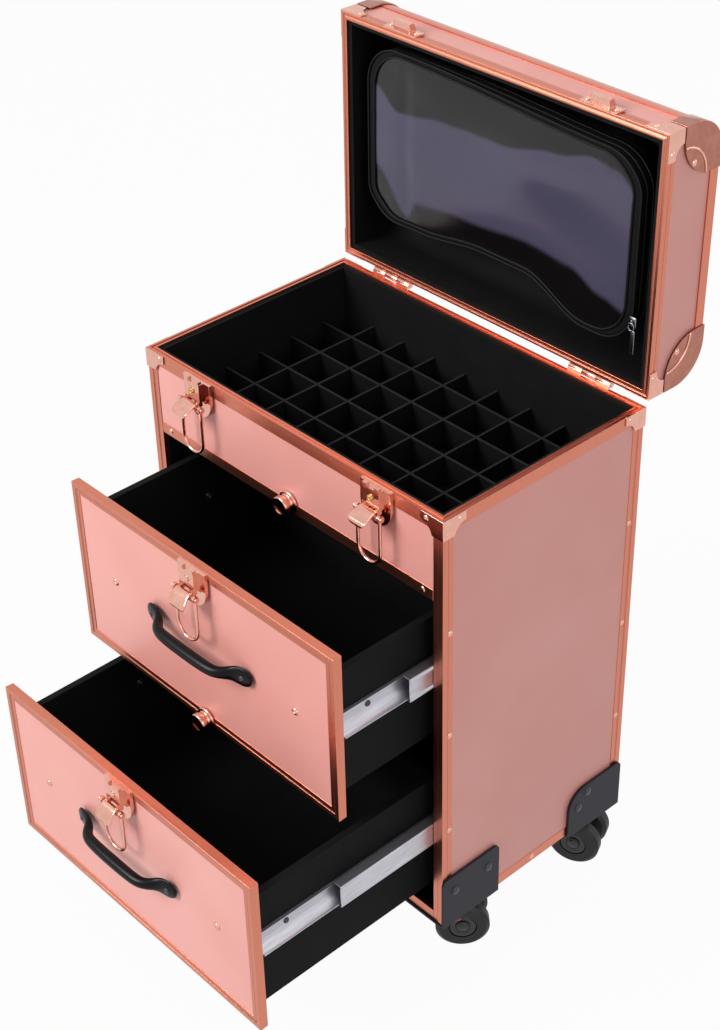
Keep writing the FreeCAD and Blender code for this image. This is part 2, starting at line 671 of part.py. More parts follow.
# Dome rivet, standing out along +Z from its own origin
def rivet(x, y, z, axis=None, angle=0):
    dome = doc.addObject("Part::Sphere", "dome")
    bind(dome, "Radius", dim.rivet_ball)
    bind(dome, "Angle1", dim.rivet_angle)
    put(dome, 0, 0, -(dim.rivet_ball * sine(dim.rivet_angle)))
    return moved(dome, x, y, z, axis, angle)


ACROSS = Vector(0, 1, 0)
ALONG = Vector(1, 0, 0)


def side_rivet(y, z, x=half_w):
    return rivet(x, y, z, ACROSS, 90)


def front_rivet(x, z, y=-half_d):
    return rivet(x, y, z, ALONG, 90)


# Sheet corner pieces at the rims
def corner_piece(edge, way):
    """Bent sheet over the front right corner, hollowed between its rim legs and its post leg."""
    far = edge - way * dim.corner_tall
    shoulder = edge - way * dim.corner_shoulder
    outside_x = half_w + dim.corner_sheet
    outside_y = half_d + dim.corner_sheet
    end_x = half_w - dim.corner_wide
    end_y = half_d - dim.corner_wide
    front = [(outside_x, edge), (end_x, edge), (end_x, shoulder, dim.corner_hollow, -way), (post_in_x, far),
             (outside_x, far)]
    side = [(-half_d, edge), (-end_y, edge), (-end_y, shoulder, dim.corner_hollow, way), (-post_in_y, far),
            (-half_d, far)]
    front_sheet = prism("XZ", [(front, -outside_y, -half_d)])
    side_sheet = prism("YZ", [(side, half_w, outside_x)])
    return fuse(front_sheet, side_sheet)


def corner_rivets(edge, way):
    height = edge - way * dim.corner_rivet_in
    outside_y = -half_d - dim.corner_sheet
    outside_x = half_w + dim.corner_sheet
    on_front = front_rivet(half_w - dim.corner_rivet, height, outside_y)
    on_side = side_rivet(-half_d + dim.corner_rivet, height, outside_x)
    return four(on_front) + four(on_side)


node("case_corner_pieces", four(corner_piece(rim, 1)))

# Wheel brackets: bent sheets under the corners
outside = half_w + dim.bracket_sheet
under = base - dim.bracket_sheet
bracket_in = half_w - dim.bracket_inner


def bracket(start, end, side_points, stem_y):
    side = prism("YZ", [(side_points, half_w, outside)])
    plate = box((bracket_in, start, under), (outside, end, base))
    hole = cylinder("z", (caster_x, stem_y, under - 1), dim.stem_radius + dim.stem_clearance, 4)
    return cut(fuse(side, plate), hole)


front_start = -half_d - dim.bracket_overhang
front_end = front_start + dim.bracket_length
front_high = base + dim.bracket_front_height
nip = dim.bracket_corner
front_side = [(front_start, base), (front_end, base), (front_end, front_high - nip, nip, 1),
              (front_end - nip, front_high), (front_start + nip, front_high, nip, 1),
              (front_start, front_high - nip)]
rear_end = half_d
rear_start = rear_end - dim.bracket_length
rear_high = base + dim.bracket_rear_height
big = dim.bracket_round
rear_side = [(rear_start, base), (rear_end, base), (rear_end, rear_high - nip, nip, 1),
             (rear_end - nip, rear_high), (rear_start + big, rear_high, big, 1),
             (rear_start, rear_high - big)]
front_bracket = bracket(front_start, front_end, front_side, -caster_y)
rear_bracket = bracket(rear_start, rear_end, rear_side, caster_y)
node("wheel_brackets", both(front_bracket) + both(rear_bracket))

# Case rivets on the posts, foot rails, brackets and cross rail
case_rivets = []
post_rivet_y = half_d - dim.post_width * 0.75
for way in (-1, 1):
    for index in range(3):
        height = base + dim.rivet_first + dim.rivet_pitch * index
        case_rivets += both(side_rivet(way * post_rivet_y, height, rail_x))
case_rivets += both(side_rivet(0, base + dim.foot_rail_height / 2, rail_x))
bracket_rivets = (
    (front_start + dim.front_rivet_near, dim.front_rivet_height),
    (front_start + dim.front_rivet_far, dim.front_rivet_height),
    (rear_end - dim.rear_rivet_near, dim.rear_rivet_high),
    (rear_end - dim.rear_rivet_far, dim.rear_rivet_low),
)
for y, height in bracket_rivets:
    case_rivets += both(side_rivet(y, base + height, outside))
case_rivets += both(front_rivet(half_w - dim.post_width * 2, (cross_low + cross_high) / 2, -rail_y))
node("case_rivets", case_rivets + corner_rivets(rim, 1))

# Lid, modelled shut and turned open about the hinge axis
opening = dim.lid_open_angle
swung_y = hinge_y * cosine(opening) + hinge_z * sine(opening)
swung_z = hinge_z * cosine(opening) - hinge_y * sine(opening)


def lid_node(label, pieces):
    item = node(label, pieces)
    put(item, 0, hinge_y - swung_y, hinge_z - swung_z, Vector(-1, 0, 0), opening)
    bind(item, "Placement.Rotation.Angle", opening)


lid_rim = rim + dim.lid_gap
lid_top = lid_rim + dim.lid_height
lid_wall_low = lid_rim + dim.lid_rim_height
round_z = lid_top - dim.lid_round
round_y = half_d - dim.lid_round
lid_node("lid_rim_rails", rim_ring(lid_rim, dim.lid_rim_height, -1))

rail_in = dim.lid_round - dim.round_rail_thick
edge_rail_out = half_w - dim.panel_recess
round_points = [(half_d, round_z, dim.lid_round, 1), (round_y, lid_top),
                (round_y, lid_top - dim.round_rail_thick, rail_in, -1),
                (half_d - dim.round_rail_thick, round_z)]
round_rail = prism("YZ", [(round_points, -edge_rail_out, edge_rail_out)])
edge_in = half_w - dim.edge_rail_width
edge_low = lid_top - dim.edge_rail_width
edge_skin = dim.edge_rail_sheet
edge_points = [(half_w, edge_low), (half_w, lid_top), (edge_in, lid_top), (edge_in, lid_top - edge_skin),
               (half_w - edge_skin, lid_top - edge_skin), (half_w - edge_skin, edge_low)]
edge_rail = prism("XZ", [(edge_points, -round_y, round_y)])
lid_node("lid_edge_rails", both(round_rail, "y") + both(edge_rail))

# Lid panels and lining
skin_top = lid_top - dim.panel_recess
skin_low = lid_top - frame_in
top_panel = box((-edge_rail_out, -round_y, skin_low), (edge_rail_out, round_y, skin_top))
strip_panel = box((-edge_rail_out, wall_y, lid_wall_low), (edge_rail_out, panel_y, round_z))
side_round = dim.lid_round - frame_in
side_points = [(-wall_y, lid_wall_low), (wall_y, lid_wall_low), (wall_y, round_z, side_round, 1),
               (round_y, skin_low), (-round_y, skin_low, side_round, 1), (-wall_y, round_z)]
lid_side = prism("YZ", [(side_points, wall_x, panel_x)])
lid_node("lid_panels", [top_panel] + both(strip_panel, "y") + both(lid_side))
lining = dim.lining_thick
lining_low = lid_rim + dim.lining_gap
lining_round = side_round - lining
lining_top_board = box((-inner_x, -round_y, skin_low - lining), (inner_x, round_y, skin_low))
lining_front = box((-inner_x, inner_y, lining_low), (inner_x, wall_y, round_z))
lining_bend_points = [(wall_y, round_z, side_round, 1), (round_y, skin_low),
                      (round_y, skin_low - lining, lining_round, -1), (inner_y, round_z)]
lining_bend = prism("YZ", [(lining_bend_points, -inner_x, inner_x)])
lining_side_points = [(-wall_y, lining_low), (wall_y, lining_low)] + side_points[2:]
lining_side = prism("YZ", [(lining_side_points, inner_x, wall_x)])
lining_boards = [lining_top_board] + both(lining_front, "y") + both(lining_bend, "y") + both(lining_side)
lid_node("lid_lining", lining_boards)

# Lid corner caps: side sheet and a band over the round edge
cap_low = lid_top - dim.cap_down
cap_in = half_d - dim.cap_along
cap_points = [(half_d, cap_low), (half_d, round_z, dim.lid_round, 1), (round_y, lid_top),
              (cap_in, lid_top), (cap_in, cap_low + dim.cap_bulge, dim.cap_bulge, 1),
              (cap_in + dim.cap_bulge, cap_low)]
cap_out = half_w + dim.cap_sheet
cap_side = prism("YZ", [(cap_points, half_w, cap_out)])
skin_round = dim.lid_round + dim.cap_sheet
band_points = [(half_d + dim.cap_sheet, cap_low), (half_d + dim.cap_sheet, round_z, skin_round, 1),
               (round_y, lid_top + dim.cap_sheet), (cap_in, lid_top + dim.cap_sheet), (cap_in, lid_top),
               (round_y, lid_top, dim.lid_round, -1), (half_d, round_z), (half_d, cap_low)]
cap_band = prism("YZ", [(band_points, half_w - dim.cap_band, cap_out)])
lid_node("lid_corner_caps", four(fuse(cap_side, cap_band)))
lid_node("lid_corner_pieces", four(corner_piece(lid_rim, -1)))
lid_node("lid_rivets", four(side_rivet(round_y, round_z, cap_out)) + corner_rivets(lid_rim, -1))
lid_node("lid_hinge_leaves", [moved(lid_leaf, x) for x in hinge_sides])


def rounded_corners(half_x, half_y, corner):
    """Outline of a rectangle about the origin with its corners rounded."""
    short_x = half_x - corner
    short_y = half_y - corner
    return [(short_x, -half_y, corner, 1), (half_x, -short_y), (half_x, short_y, corner, 1),
            (short_x, half_y), (-short_x, half_y, corner, 1), (-half_x, short_y),
            (-half_x, -short_y, corner, 1), (-short_x, -half_y)]


# Lid keepers, pocket and carrying handle
keeper_face = -half_d - dim.keeper_plate_thick
keeper_plate = box((-dim.keeper_plate_half, keeper_face, lid_rim),
                   (dim.keeper_plate_half, -half_d, lid_rim + dim.keeper_plate_height))
hook_low = lid_rim + dim.keeper_start
hook_high = hook_low + dim.keeper_height
hook_out = -half_d - dim.keeper_out
hook_points = [(keeper_face, hook_low), (keeper_face, hook_high), (hook_out, hook_high - dim.keeper_lip),
               (hook_out, hook_low)]
hook = prism("YZ", [(hook_points, -dim.keeper_half, dim.keeper_half)])
keeper = fuse(keeper_plate, hook)
lid_node("lid_keepers", [moved(keeper, side * body_latch_x) for side in (-1, 1)])
pocket_y = half_d - dim.pocket_edge
pocket_low = lid_rim + dim.pocket_start
pocket_x = inner_x - dim.pocket_side_gap
pocket_back = pocket_low + dim.pocket_thick
pocket_front = rounded_corners(pocket_x, pocket_y, dim.pocket_corner)
pocket_base = rounded_corners(pocket_x - dim.pocket_taper, round_y - dim.pocket_base_gap, dim.pocket_corner)
pocket = prism("XY", [(pocket_front, pocket_low, pocket_back), (pocket_base, pocket_back, skin_low - lining)])
lid_node("lid_pocket", [pocket])
lid_node("lid_handle", [moved(handle, 0, 0, skin_top, Vector(1, 0, 0), 90)])

# Casters, modelled with the trail along +X and turned about their stems
axle_z = dim.wheel_radius
wheel_out = dim.wheel_inner + dim.wheel_width
tread_low = dim.wheel_inner + dim.wheel_bevel
tread_high = wheel_out - dim.wheel_bevel
shoulder_r = dim.wheel_radius - dim.wheel_shoulder
bore_r = dim.axle_radius + dim.stem_clearance
wheel = turned([
    (bore_r, dim.wheel_inner), (shoulder_r, dim.wheel_inner), (dim.wheel_radius, tread_low),
    (dim.wheel_radius, tread_high), (shoulder_r, wheel_out), (dim.hub_radius, wheel_out),
    (dim.hub_radius, wheel_out - dim.hub_recess), (dim.hub_boss, wheel_out - dim.hub_recess),
    (dim.hub_boss, wheel_out), (bore_r, wheel_out),
])
wheel_pair = moved(gather(both(wheel, "y")), dim.caster_trail, 0, axle_z)
hood_top = dim.hood_bottom + dim.hood_thick
hood_disc = cylinder("z", (0, 0, dim.hood_bottom), dim.hood_radius, dim.hood_thick)
stem_length = base - dim.stem_gap - hood_top
stem = cylinder("z", (0, 0, hood_top), dim.stem_radius, stem_length)
web_top = dim.hood_bottom + dim.hood_thick / 2
web_points = [(dim.web_back, web_top), (dim.caster_trail - dim.web_foot, axle_z - dim.web_foot),
              (dim.caster_trail + dim.web_foot, axle_z - dim.web_foot), (dim.web_front, web_top)]
web = prism("XZ", [(web_points, -dim.web_half, dim.web_half)])
axle_hole = cylinder("y", (dim.caster_trail, -wheel_out, axle_z), dim.axle_radius, wheel_out * 2)
axle = cylinder("y", (dim.caster_trail, -wheel_out, axle_z), dim.axle_radius, wheel_out * 2)
hood = gather([cut(fuse(hood_disc, stem, web), axle_hole), axle])
casters = (("front_right", 1, -1), ("rear_right", 1, 1), ("front_left", -1, -1), ("rear_left", -1, 1))
for name, side, end in casters:
    turn = getattr(dim, f"{name}_angle")
    for part_name, piece in (("caster_hood", hood), ("caster_wheels", wheel_pair)):
        item = node(f"{name}_{part_name}", [piece])
        put(item, side * caster_x, end * caster_y, 0, up, turn)
        bind(item, "Placement.Rotation.Angle", turn)

doc.recompute()

# Every object must be sound before the files are written
for item in doc.Objects:
    if "Invalid" in item.State or "Error" in item.State:
        raise RuntimeError(f"{item.Label} ({item.Name}) did not rebuild")
os.makedirs("parts", exist_ok=True)
for item in nodes:
    if item.Shape.isNull() or not item.Shape.isValid():
        raise RuntimeError(f"{item.Label} has no sound shape")
    if any(solid.Volume <= 0 for solid in item.Shape.Solids) or not item.Shape.Solids:
        raise RuntimeError(f"{item.Label} has an empty solid")
    item.Shape.exportStep(f"parts/{item.Label}.step")
print(len(nodes), "nodes written")
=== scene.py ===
import json
import math

import bmesh
import bpy
from mathutils import Matrix, Vector, noise


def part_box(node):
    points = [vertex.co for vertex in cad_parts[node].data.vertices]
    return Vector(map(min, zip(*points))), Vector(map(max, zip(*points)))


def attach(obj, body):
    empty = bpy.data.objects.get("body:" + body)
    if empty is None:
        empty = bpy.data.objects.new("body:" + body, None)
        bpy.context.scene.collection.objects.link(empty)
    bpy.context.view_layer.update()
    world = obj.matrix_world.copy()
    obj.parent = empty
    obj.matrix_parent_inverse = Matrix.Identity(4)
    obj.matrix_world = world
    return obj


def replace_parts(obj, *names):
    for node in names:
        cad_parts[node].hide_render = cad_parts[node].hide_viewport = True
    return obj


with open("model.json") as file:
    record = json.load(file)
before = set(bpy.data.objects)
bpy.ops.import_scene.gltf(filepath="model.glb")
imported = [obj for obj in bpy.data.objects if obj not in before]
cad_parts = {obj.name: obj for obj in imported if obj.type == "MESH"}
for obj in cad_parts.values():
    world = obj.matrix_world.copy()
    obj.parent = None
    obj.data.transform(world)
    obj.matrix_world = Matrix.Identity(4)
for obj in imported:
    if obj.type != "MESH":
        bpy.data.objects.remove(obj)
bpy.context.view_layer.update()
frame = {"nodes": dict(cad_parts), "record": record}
nodes = frame["nodes"]
MM = 0.001
SIDES = (-1, 1)
DRAWERS = ("upper", "lower")
LATCHES = ("left", "right", "upper", "lower")
CASTERS = ("front_right", "rear_right", "front_left", "rear_left")

# Sizes of the patterns in the materials
GRAIN_DEPTH = 0.2 * MM
GRAIN_DETAIL = 3.0
PINK_DRIFTS_PER_METRE = 9.0
LINING_DRIFTS_PER_METRE = 30.0
FILM_CRINKLE = 35 * MM
THREAD_SPACING = 1.2 * MM
# A wave texture of scale 1 shows about this many bands in a metre
WAVE_BANDS = 3.1416
# Where the painted highlight along the lit top edge of the tray strips starts and is full, down from their
# top edge
TOP_EDGE_HIGHLIGHT = (0.6 * MM, 0.2 * MM)


def linear(hex_colour):
    """sRGB hex to a linear colour."""
    channels = [int(hex_colour[i:i + 2], 16) / 255 for i in (1, 3, 5)]
    return tuple(c / 12.92 if c <= 0.04045 else ((c + 0.055) / 1.055) ** 2.4 for c in channels) + (1.0,)


def add(tree, kind, settings=None, *ordered, **named):
    """Adds a node. Settings that name an input set it, others set the node. Sources join by order or name."""
    node = tree.nodes.new(kind)
    for name, value in (settings or {}).items():
        if name in node.inputs:
            node.inputs[name].default_value = value
        else:
            setattr(node, name, value)
    for index, source in enumerate(ordered):
        tree.links.new(source, node.inputs[index])
    for name, source in named.items():
        tree.links.new(source, node.inputs[name.replace("_", " ")])
    return node


def start(name, roughness, metallic=0.0, specular=0.5):
    """A new finish: its material, its node tree and its shader."""
    material = bpy.data.materials.new(name)
    material.use_nodes = True
    tree = material.node_tree
    shader = tree.nodes["Principled BSDF"]
    shader.inputs["Roughness"].default_value = roughness
    shader.inputs["Metallic"].default_value = metallic
    shader.inputs["Specular IOR Level"].default_value = specular
    return material, tree, shader


def grain(tree, shader, size, strength, stretch=(1, 1, 1)):
    """Bump from noise with grains of about size metres, drawn out by stretch."""
    place = add(tree, "ShaderNodeTexCoord").outputs["Object"]
    drawn = add(tree, "ShaderNodeMapping", {"Scale": stretch}, Vector=place).outputs["Vector"]
    specks = {"Scale": 1 / size, "Detail": GRAIN_DETAIL}
    height = add(tree, "ShaderNodeTexNoise", specks, Vector=drawn).outputs["Fac"]
    bump = add(tree, "ShaderNodeBump", {"Strength": strength, "Distance": GRAIN_DEPTH}, Height=height)
    tree.links.new(bump.outputs["Normal"], shader.inputs["Normal"])
    return height


def shade(tree, shader, source, dark, light, low=0.35, high=0.65):
    """Colour that drifts between two tones with a source."""
    ramp = add(tree, "ShaderNodeValToRGB", None, Fac=source)
    for stop, place, tone in zip(ramp.color_ramp.elements, (low, high), (dark, light)):
        stop.position = place
        stop.color = linear(tone)
    tree.links.new(ramp.outputs["Color"], shader.inputs["Base Color"])


def pink_laminate():
    """Satin laminate on board: even pink with a soft sheen and a faint orange peel."""
    material, tree, shader = start("satin_pink_laminate", roughness=0.42, metallic=0.08)
    grain(tree, shader, size=1.1 * MM, strength=0.05)
    place = add(tree, "ShaderNodeTexCoord").outputs["Object"]
    drift = {"Scale": PINK_DRIFTS_PER_METRE, "Detail": 2.0}
    cloud = add(tree, "ShaderNodeTexNoise", drift, Vector=place).outputs["Fac"]
    shade(tree, shader, cloud, "#E1998F", "#E6A198")
    shader.inputs["Coat Weight"].default_value = 0.2
    shader.inputs["Coat Roughness"].default_value = 0.3
    return material


def copper_anodised():
    """Anodised aluminium extrusion: rose copper with an even satin grain."""
    material, tree, shader = start("copper_anodised", roughness=0.3, metallic=1.0)
    speck = grain(tree, shader, size=0.6 * MM, strength=0.06)
    shade(tree, shader, speck, "#CA7962", "#D2836C")
    return material


def rose_plate(name, dark, light, roughness):
    """Electroplated steel: bright rose gold, polished smooth, with faint clouds in the plating."""
    material, tree, shader = start(name, roughness, metallic=1.0)
    cloud = grain(tree, shader, size=6 * MM, strength=0.01)
    shade(tree, shader, cloud, dark, light)
    return material


def lining_fabric():
    """Woven polyester lining: black with a fine plain weave, drawn at 1.2 mm so that it shows."""
    material, tree, shader = start("black_woven_lining", roughness=0.8, specular=0.15)
    place = add(tree, "ShaderNodeTexCoord").outputs["Object"]
    threads = []
    for axis in ("X", "Y", "Z"):
        bands = {"Scale": 1 / THREAD_SPACING / WAVE_BANDS, "Distortion": 0.6, "bands_direction": axis}
        threads.append(add(tree, "ShaderNodeTexWave", bands, Vector=place).outputs["Fac"])
    weave = threads[0]
    for thread in threads[1:]:
        weave = add(tree, "ShaderNodeMath", {"operation": "ADD"}, weave, thread).outputs[0]
    bump = add(tree, "ShaderNodeBump", {"Strength": 0.25, "Distance": 0.3 * MM}, Height=weave)
    tree.links.new(bump.outputs["Normal"], shader.inputs["Normal"])
    drift = {"Scale": LINING_DRIFTS_PER_METRE, "Detail": 3.0}
    cloud = add(tree, "ShaderNodeTexNoise", drift, Vector=place).outputs["Fac"]
    shade(tree, shader, cloud, "#050506", "#0A0A0B")
    return material


def film_sheet():
    """Soft clear vinyl sheet: glossy and rippled, milky where it stands off the cloth behind it. Its pale
    patch is partly that haze and partly a painted reflection of the bright room, and the dark brown tone
    round it is a painted dark reflection.
    """
    material, tree, shader = start("clear_vinyl_film", roughness=0.2, specular=0.05)
    haze_and_reflection = add(tree, "ShaderNodeAttribute", {"attribute_name": "haze_and_reflection"}).outputs["Fac"]
    # The light tone paints haze and reflection in the patch, the dark tone a painted dark reflection
    shade(tree, shader, haze_and_reflection, "#2C2629", "#67627C", low=0.05, high=0.95)
    clear = add(tree, "ShaderNodeMapRange", {"To Min": 0.8, "To Max": 0.55}, Value=haze_and_reflection)
    tree.links.new(clear.outputs["Result"], shader.inputs["Transmission Weight"])
    place = add(tree, "ShaderNodeTexCoord").outputs["Object"]
    ripples = {"Scale": 1 / FILM_CRINKLE, "Detail": 2.0, "Distortion": 0.6}
    crinkle = add(tree, "ShaderNodeTexNoise", ripples, Vector=place).outputs["Fac"]
    bump = add(tree, "ShaderNodeBump", {"Strength": 0.12, "Distance": 3 * MM}, Height=crinkle)
    tree.links.new(bump.outputs["Normal"], shader.inputs["Normal"])
    return material


def zinc_steel():
    """Zinc-plated cold-rolled steel: bright, with rolling lines along the slide."""
    material, tree, shader = start("bright_zinc_steel", roughness=0.38, metallic=0.9)
    lines = grain(tree, shader, size=1.5 * MM, strength=0.05, stretch=(1, 0.08, 1))
    shade(tree, shader, lines, "#BCBBC3", "#CAC9D1")
    return material


def flocked_strip():
    """Flocked board: black, with a painted grey highlight along the top edge where light falls on it."""
    material, tree, shader = start("black_flocked_board", roughness=0.8, specular=0.15)
    grain(tree, shader, size=0.8 * MM, strength=0.3)
    place = add(tree, "ShaderNodeTexCoord").outputs["Object"]
    height = add(tree, "ShaderNodeSeparateXYZ", None, Vector=place).outputs["Z"]
    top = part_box("tray_divider_strips")[1][2]
    edge = {"From Min": top - TOP_EDGE_HIGHLIGHT[0], "From Max": top - TOP_EDGE_HIGHLIGHT[1]}
    lit_top = add(tree, "ShaderNodeMapRange", edge, Value=height).outputs["Result"]
    # The lighter tone is a painted highlight on the top edge, the darker one the board's own black
    shade(tree, shader, lit_top, "#030304", "#232327", low=0.2, high=0.8)
    return material


def plain(name, dark, light, roughness, size, strength, specular=0.5, metallic=0.0):
    """Moulded, painted or plated surface of two near tones with a fine grain of size metres."""
    material, tree, shader = start(name, roughness, metallic, specular)
    speck = grain(tree, shader, size, strength)
    shade(tree, shader, speck, dark, light)
    return material


pink = pink_laminate()
copper = copper_anodised()
plate = rose_plate("polished_rose_plate", "#DEA593", "#E5AE9D", roughness=0.11)
# The same rose plate in darker tones for the lid caps: a painted dark reflection of the surroundings
cap_plate_painted_reflection = rose_plate("polished_rose_plate_painted_dark_reflection", "#A66B5B", "#B07566", roughness=0.09)
fabric = lining_fabric()
clear_film = film_sheet()
zinc = zinc_steel()
# Powder coat baked on steel: dark slate, matt, with a fine pebble
slate = plain("slate_powder_coat", "#24222B", "#2C2A34", roughness=0.55, size=0.9 * MM, strength=0.25,
              specular=0.25)
# Paper-faced chipboard: dull black with a coarse, shallow unevenness
board = plain("black_faced_board", "#060607", "#0B0B0C", roughness=0.7, size=2 * MM, strength=0.2,
              specular=0.2)
strip = flocked_strip()
# Moulded ABS: black, half glossy, nearly smooth
abs_black = plain("black_moulded_abs", "#0A0A0B", "#101011", roughness=0.3, size=0.7 * MM, strength=0.1)
# Soft moulded vinyl: deep black with a low, broad sheen
grip_black = plain("black_soft_grip", "#060608", "#0A0A0D", roughness=0.3, size=0.7 * MM, strength=0.08,
                   specular=0.16)
# Moulded polyurethane tread: grey black, dull from rolling
tread = plain("black_moulded_tread", "#0A0A0C", "#111114", roughness=0.5, size=1 * MM, strength=0.3,
              specular=0.35)
# Woven binding tape: dull black with close ribs
binding = plain("black_ribbed_binding", "#050506", "#09090A", roughness=0.6, size=0.9 * MM, strength=0.4,
                specular=0.2)
# Black zinc on steel: dark grey with a low metal gleam
dark_screw = plain("black_zinc_screw", "#34333A", "#403F47", roughness=0.32, size=1 * MM, strength=0.1,
                   metallic=0.4)
# Die-cast zinc, tumbled: grey and smooth
slider_metal = plain("cast_zinc_slider", "#77777D", "#8E8E95", roughness=0.25, size=1 * MM, strength=0.1,
                     metallic=1.0)
# Turned brass: soft yellow with fine tool marks
brass = plain("turned_brass", "#B08C55", "#BF9B64", roughness=0.3, size=0.8 * MM, strength=0.15,
              metallic=1.0)
# Moulded ABS coloured through: deep red, half glossy
brake_red = plain("red_moulded_abs", "#8E1023", "#A31529", roughness=0.35, size=0.8 * MM, strength=0.1)


def dress(material, *names):
    """Gives CAD nodes their finish."""
    for name in names:
        slots = nodes[name].data.materials
        slots.clear()
        slots.append(material)


dress(pink, "front_panel", "wall_panels", "lid_panels", "upper_front_panel", "lower_front_panel")
dress(copper, "corner_posts", "rim_rails", "lower_rails", "lid_rim_rails", "lid_edge_rails",
      "upper_front_edging", "lower_front_edging")
dress(fabric, "tray_floor", "lining_boards", "lid_lining", "upper_drawer_box", "lower_drawer_box")
dress(board, "bottom_board")
dress(strip, "tray_divider_strips")
dress(zinc, "slide_cabinet_members", "upper_slide_middle_members", "lower_slide_middle_members")
dress(plate, "body_latch_cases", "upper_latch_case", "lower_latch_case", "case_hinge_leaves", "hinge_pins",
      "lid_hinge_leaves", "lid_keepers", "case_rivets", "lid_rivets", "case_corner_pieces",
      "lid_corner_pieces")
dress(cap_plate_painted_reflection, "lid_corner_caps")
for latch in LATCHES:
    dress(plate, f"{latch}_latch_bail")
dress(slate, "wheel_brackets")
for corner in CASTERS:
    dress(abs_black, f"{corner}_caster_hood")
    dress(tread, f"{corner}_caster_wheels")


# Shaping helpers, in millimetres
def joint(name):
    """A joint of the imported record."""
    return next(item for item in frame["record"]["behaviour"]["joints"] if item["name"] == name)


def corners(node):
    """Lowest and highest corner of a node at rest, in millimetres."""
    low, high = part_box(node)
    return Vector(low) / MM, Vector(high) / MM


def piece(name, mesh, material, body, place=Matrix(), levels=0, thick=0):
    """Makes a mesh drawn in millimetres a piece that rides on a body. A sheet is thickened inwards."""
    bmesh.ops.transform(mesh, matrix=place @ Matrix.Scale(MM, 4), verts=mesh.verts)
    bmesh.ops.recalc_face_normals(mesh, faces=mesh.faces)
    data = bpy.data.meshes.new(name)
    mesh.to_mesh(data)
    mesh.free()
    data.materials.append(material)
    data.shade_smooth()
    item = bpy.data.objects.new(name, data)
    bpy.context.collection.objects.link(item)
    if thick:
        wall = item.modifiers.new("wall", "SOLIDIFY")
        wall.thickness = thick * MM
        wall.offset = -1
    if levels:
        rounder = item.modifiers.new("rounder", "SUBSURF")
        rounder.levels = levels
        rounder.render_levels = levels
    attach(item, body)
    return item


def station(point, tangent, normal, wide, thick):
    """Place of an ellipse square to the tangent, thick along the normal."""
    along = tangent.normalized()
    side = along.cross(normal).normalized()
    turn = Matrix((side, side.cross(along), along)).transposed().to_4x4()
    return Matrix.Translation(point) @ turn @ Matrix.Diagonal((wide, thick, 1, 1))


def skin(mesh, places, sides=12, closed=False):
    """Skins a row of ellipses, open with capped ends or closed in a ring."""
    rings = []
    for place in places:
        made = bmesh.ops.create_circle(mesh, segments=sides, radius=1, matrix=place)
        rings.append(list({edge for vert in made["verts"] for edge in vert.link_edges}))
    pairs = list(zip(rings, rings[1:]))
    if closed:
        pairs.append((rings[-1], rings[0]))
    for first, second in pairs:
        bmesh.ops.bridge_loops(mesh, edges=first + second)
    if not closed:
        for ring in (rings[0], rings[-1]):
            bmesh.ops.contextual_create(mesh, geom=ring)


def ring_places(points, wide, thick, normals):
    """Stations for a closed band along a ring of points."""
    places = []
    for index, point in enumerate(points):
        tangent = points[(index + 1) % len(points)] - points[index - 1]
        places.append(station(point, tangent, normals[index], wide, thick))
    return places


def lathe(mesh, place, outline, steps=28, angle=math.tau):
    """Spins an outline of (radius, height) points about the Z axis of its place."""
    known = set(mesh.verts)
    points = [mesh.verts.new((radius, 0, height)) for radius, height in outline]
    edges = [mesh.edges.new(pair) for pair in zip(points, points[1:])]
    bmesh.ops.spin(mesh, geom=points + edges, axis=(0, 0, 1), cent=(0, 0, 0), angle=angle, steps=steps,
                   use_merge=angle == math.tau)
    fresh = [vert for vert in mesh.verts if vert not in known]
    bmesh.ops.transform(mesh, matrix=place, verts=fresh)
    bmesh.ops.remove_doubles(mesh, verts=fresh, dist=0.001)


def block(mesh, low, high, rounding, place=Matrix()):
    """A box between two corners with rounded edges."""
    low, high = Vector(low), Vector(high)
    size = high - low
    where = place @ Matrix.Translation((low + high) / 2) @ Matrix.Diagonal((*size, 1))
    made = bmesh.ops.create_cube(mesh, size=1, matrix=where)
    edges = {edge for vert in made["verts"] for edge in vert.link_edges}
    bmesh.ops.bevel(mesh, geom=list(edges), offset=rounding, offset_type="OFFSET", segments=2, profile=0.5,
                    affect="EDGES", material=-1, clamp_overlap=True)


def facing(point, way):
    """Place at a point whose Z axis looks along a direction."""
    return Matrix.Translation(point) @ Vector(way).to_track_quat("Z", "Y").to_matrix().to_4x4()


# Pan head with a sunk drive: (radius, height) from the face, in shares of its radius
PAN_HEAD = [(1, 0), (1, 0.14), (0.86, 0.34), (0.5, 0.46), (0.36, 0.46), (0.26, 0.1), (0, 0.06)]


def screw_head(mesh, point, way, radius):
    """A pan head standing on a face."""
    outline = [(radius * share, radius * height) for share, height in PAN_HEAD]
    lathe(mesh, facing(point, way), outline, steps=20)


def smooth_step(low, high, value):
    """0 below low, 1 above high and an S-shaped rise between them."""
    share = min(max((value - low) / (high - low), 0), 1)
    return share * share * (3 - 2 * share)


def between(points, value):
    """Value on a smooth line through (place, value) points."""
    if value <= points[0][0]:
        return points[0][1]
    for (start_place, first), (end_place, second) in zip(points, points[1:]):
        if value <= end_place:
            return first + (second - first) * smooth_step(start_place, end_place, value)
    return points[-1][1]


# The lid is drawn shut and turned open about its hinge
HINGE = Vector(joint("lid_hinge")["pos_m"])
OPENING = math.radians(joint("lid_hinge")["range_deg"][0])
LID = Matrix.Translation(HINGE) @ Matrix.Rotation(OPENING, 4, "X") @ Matrix.Translation(-HINGE)
LID_TOP = 522.4

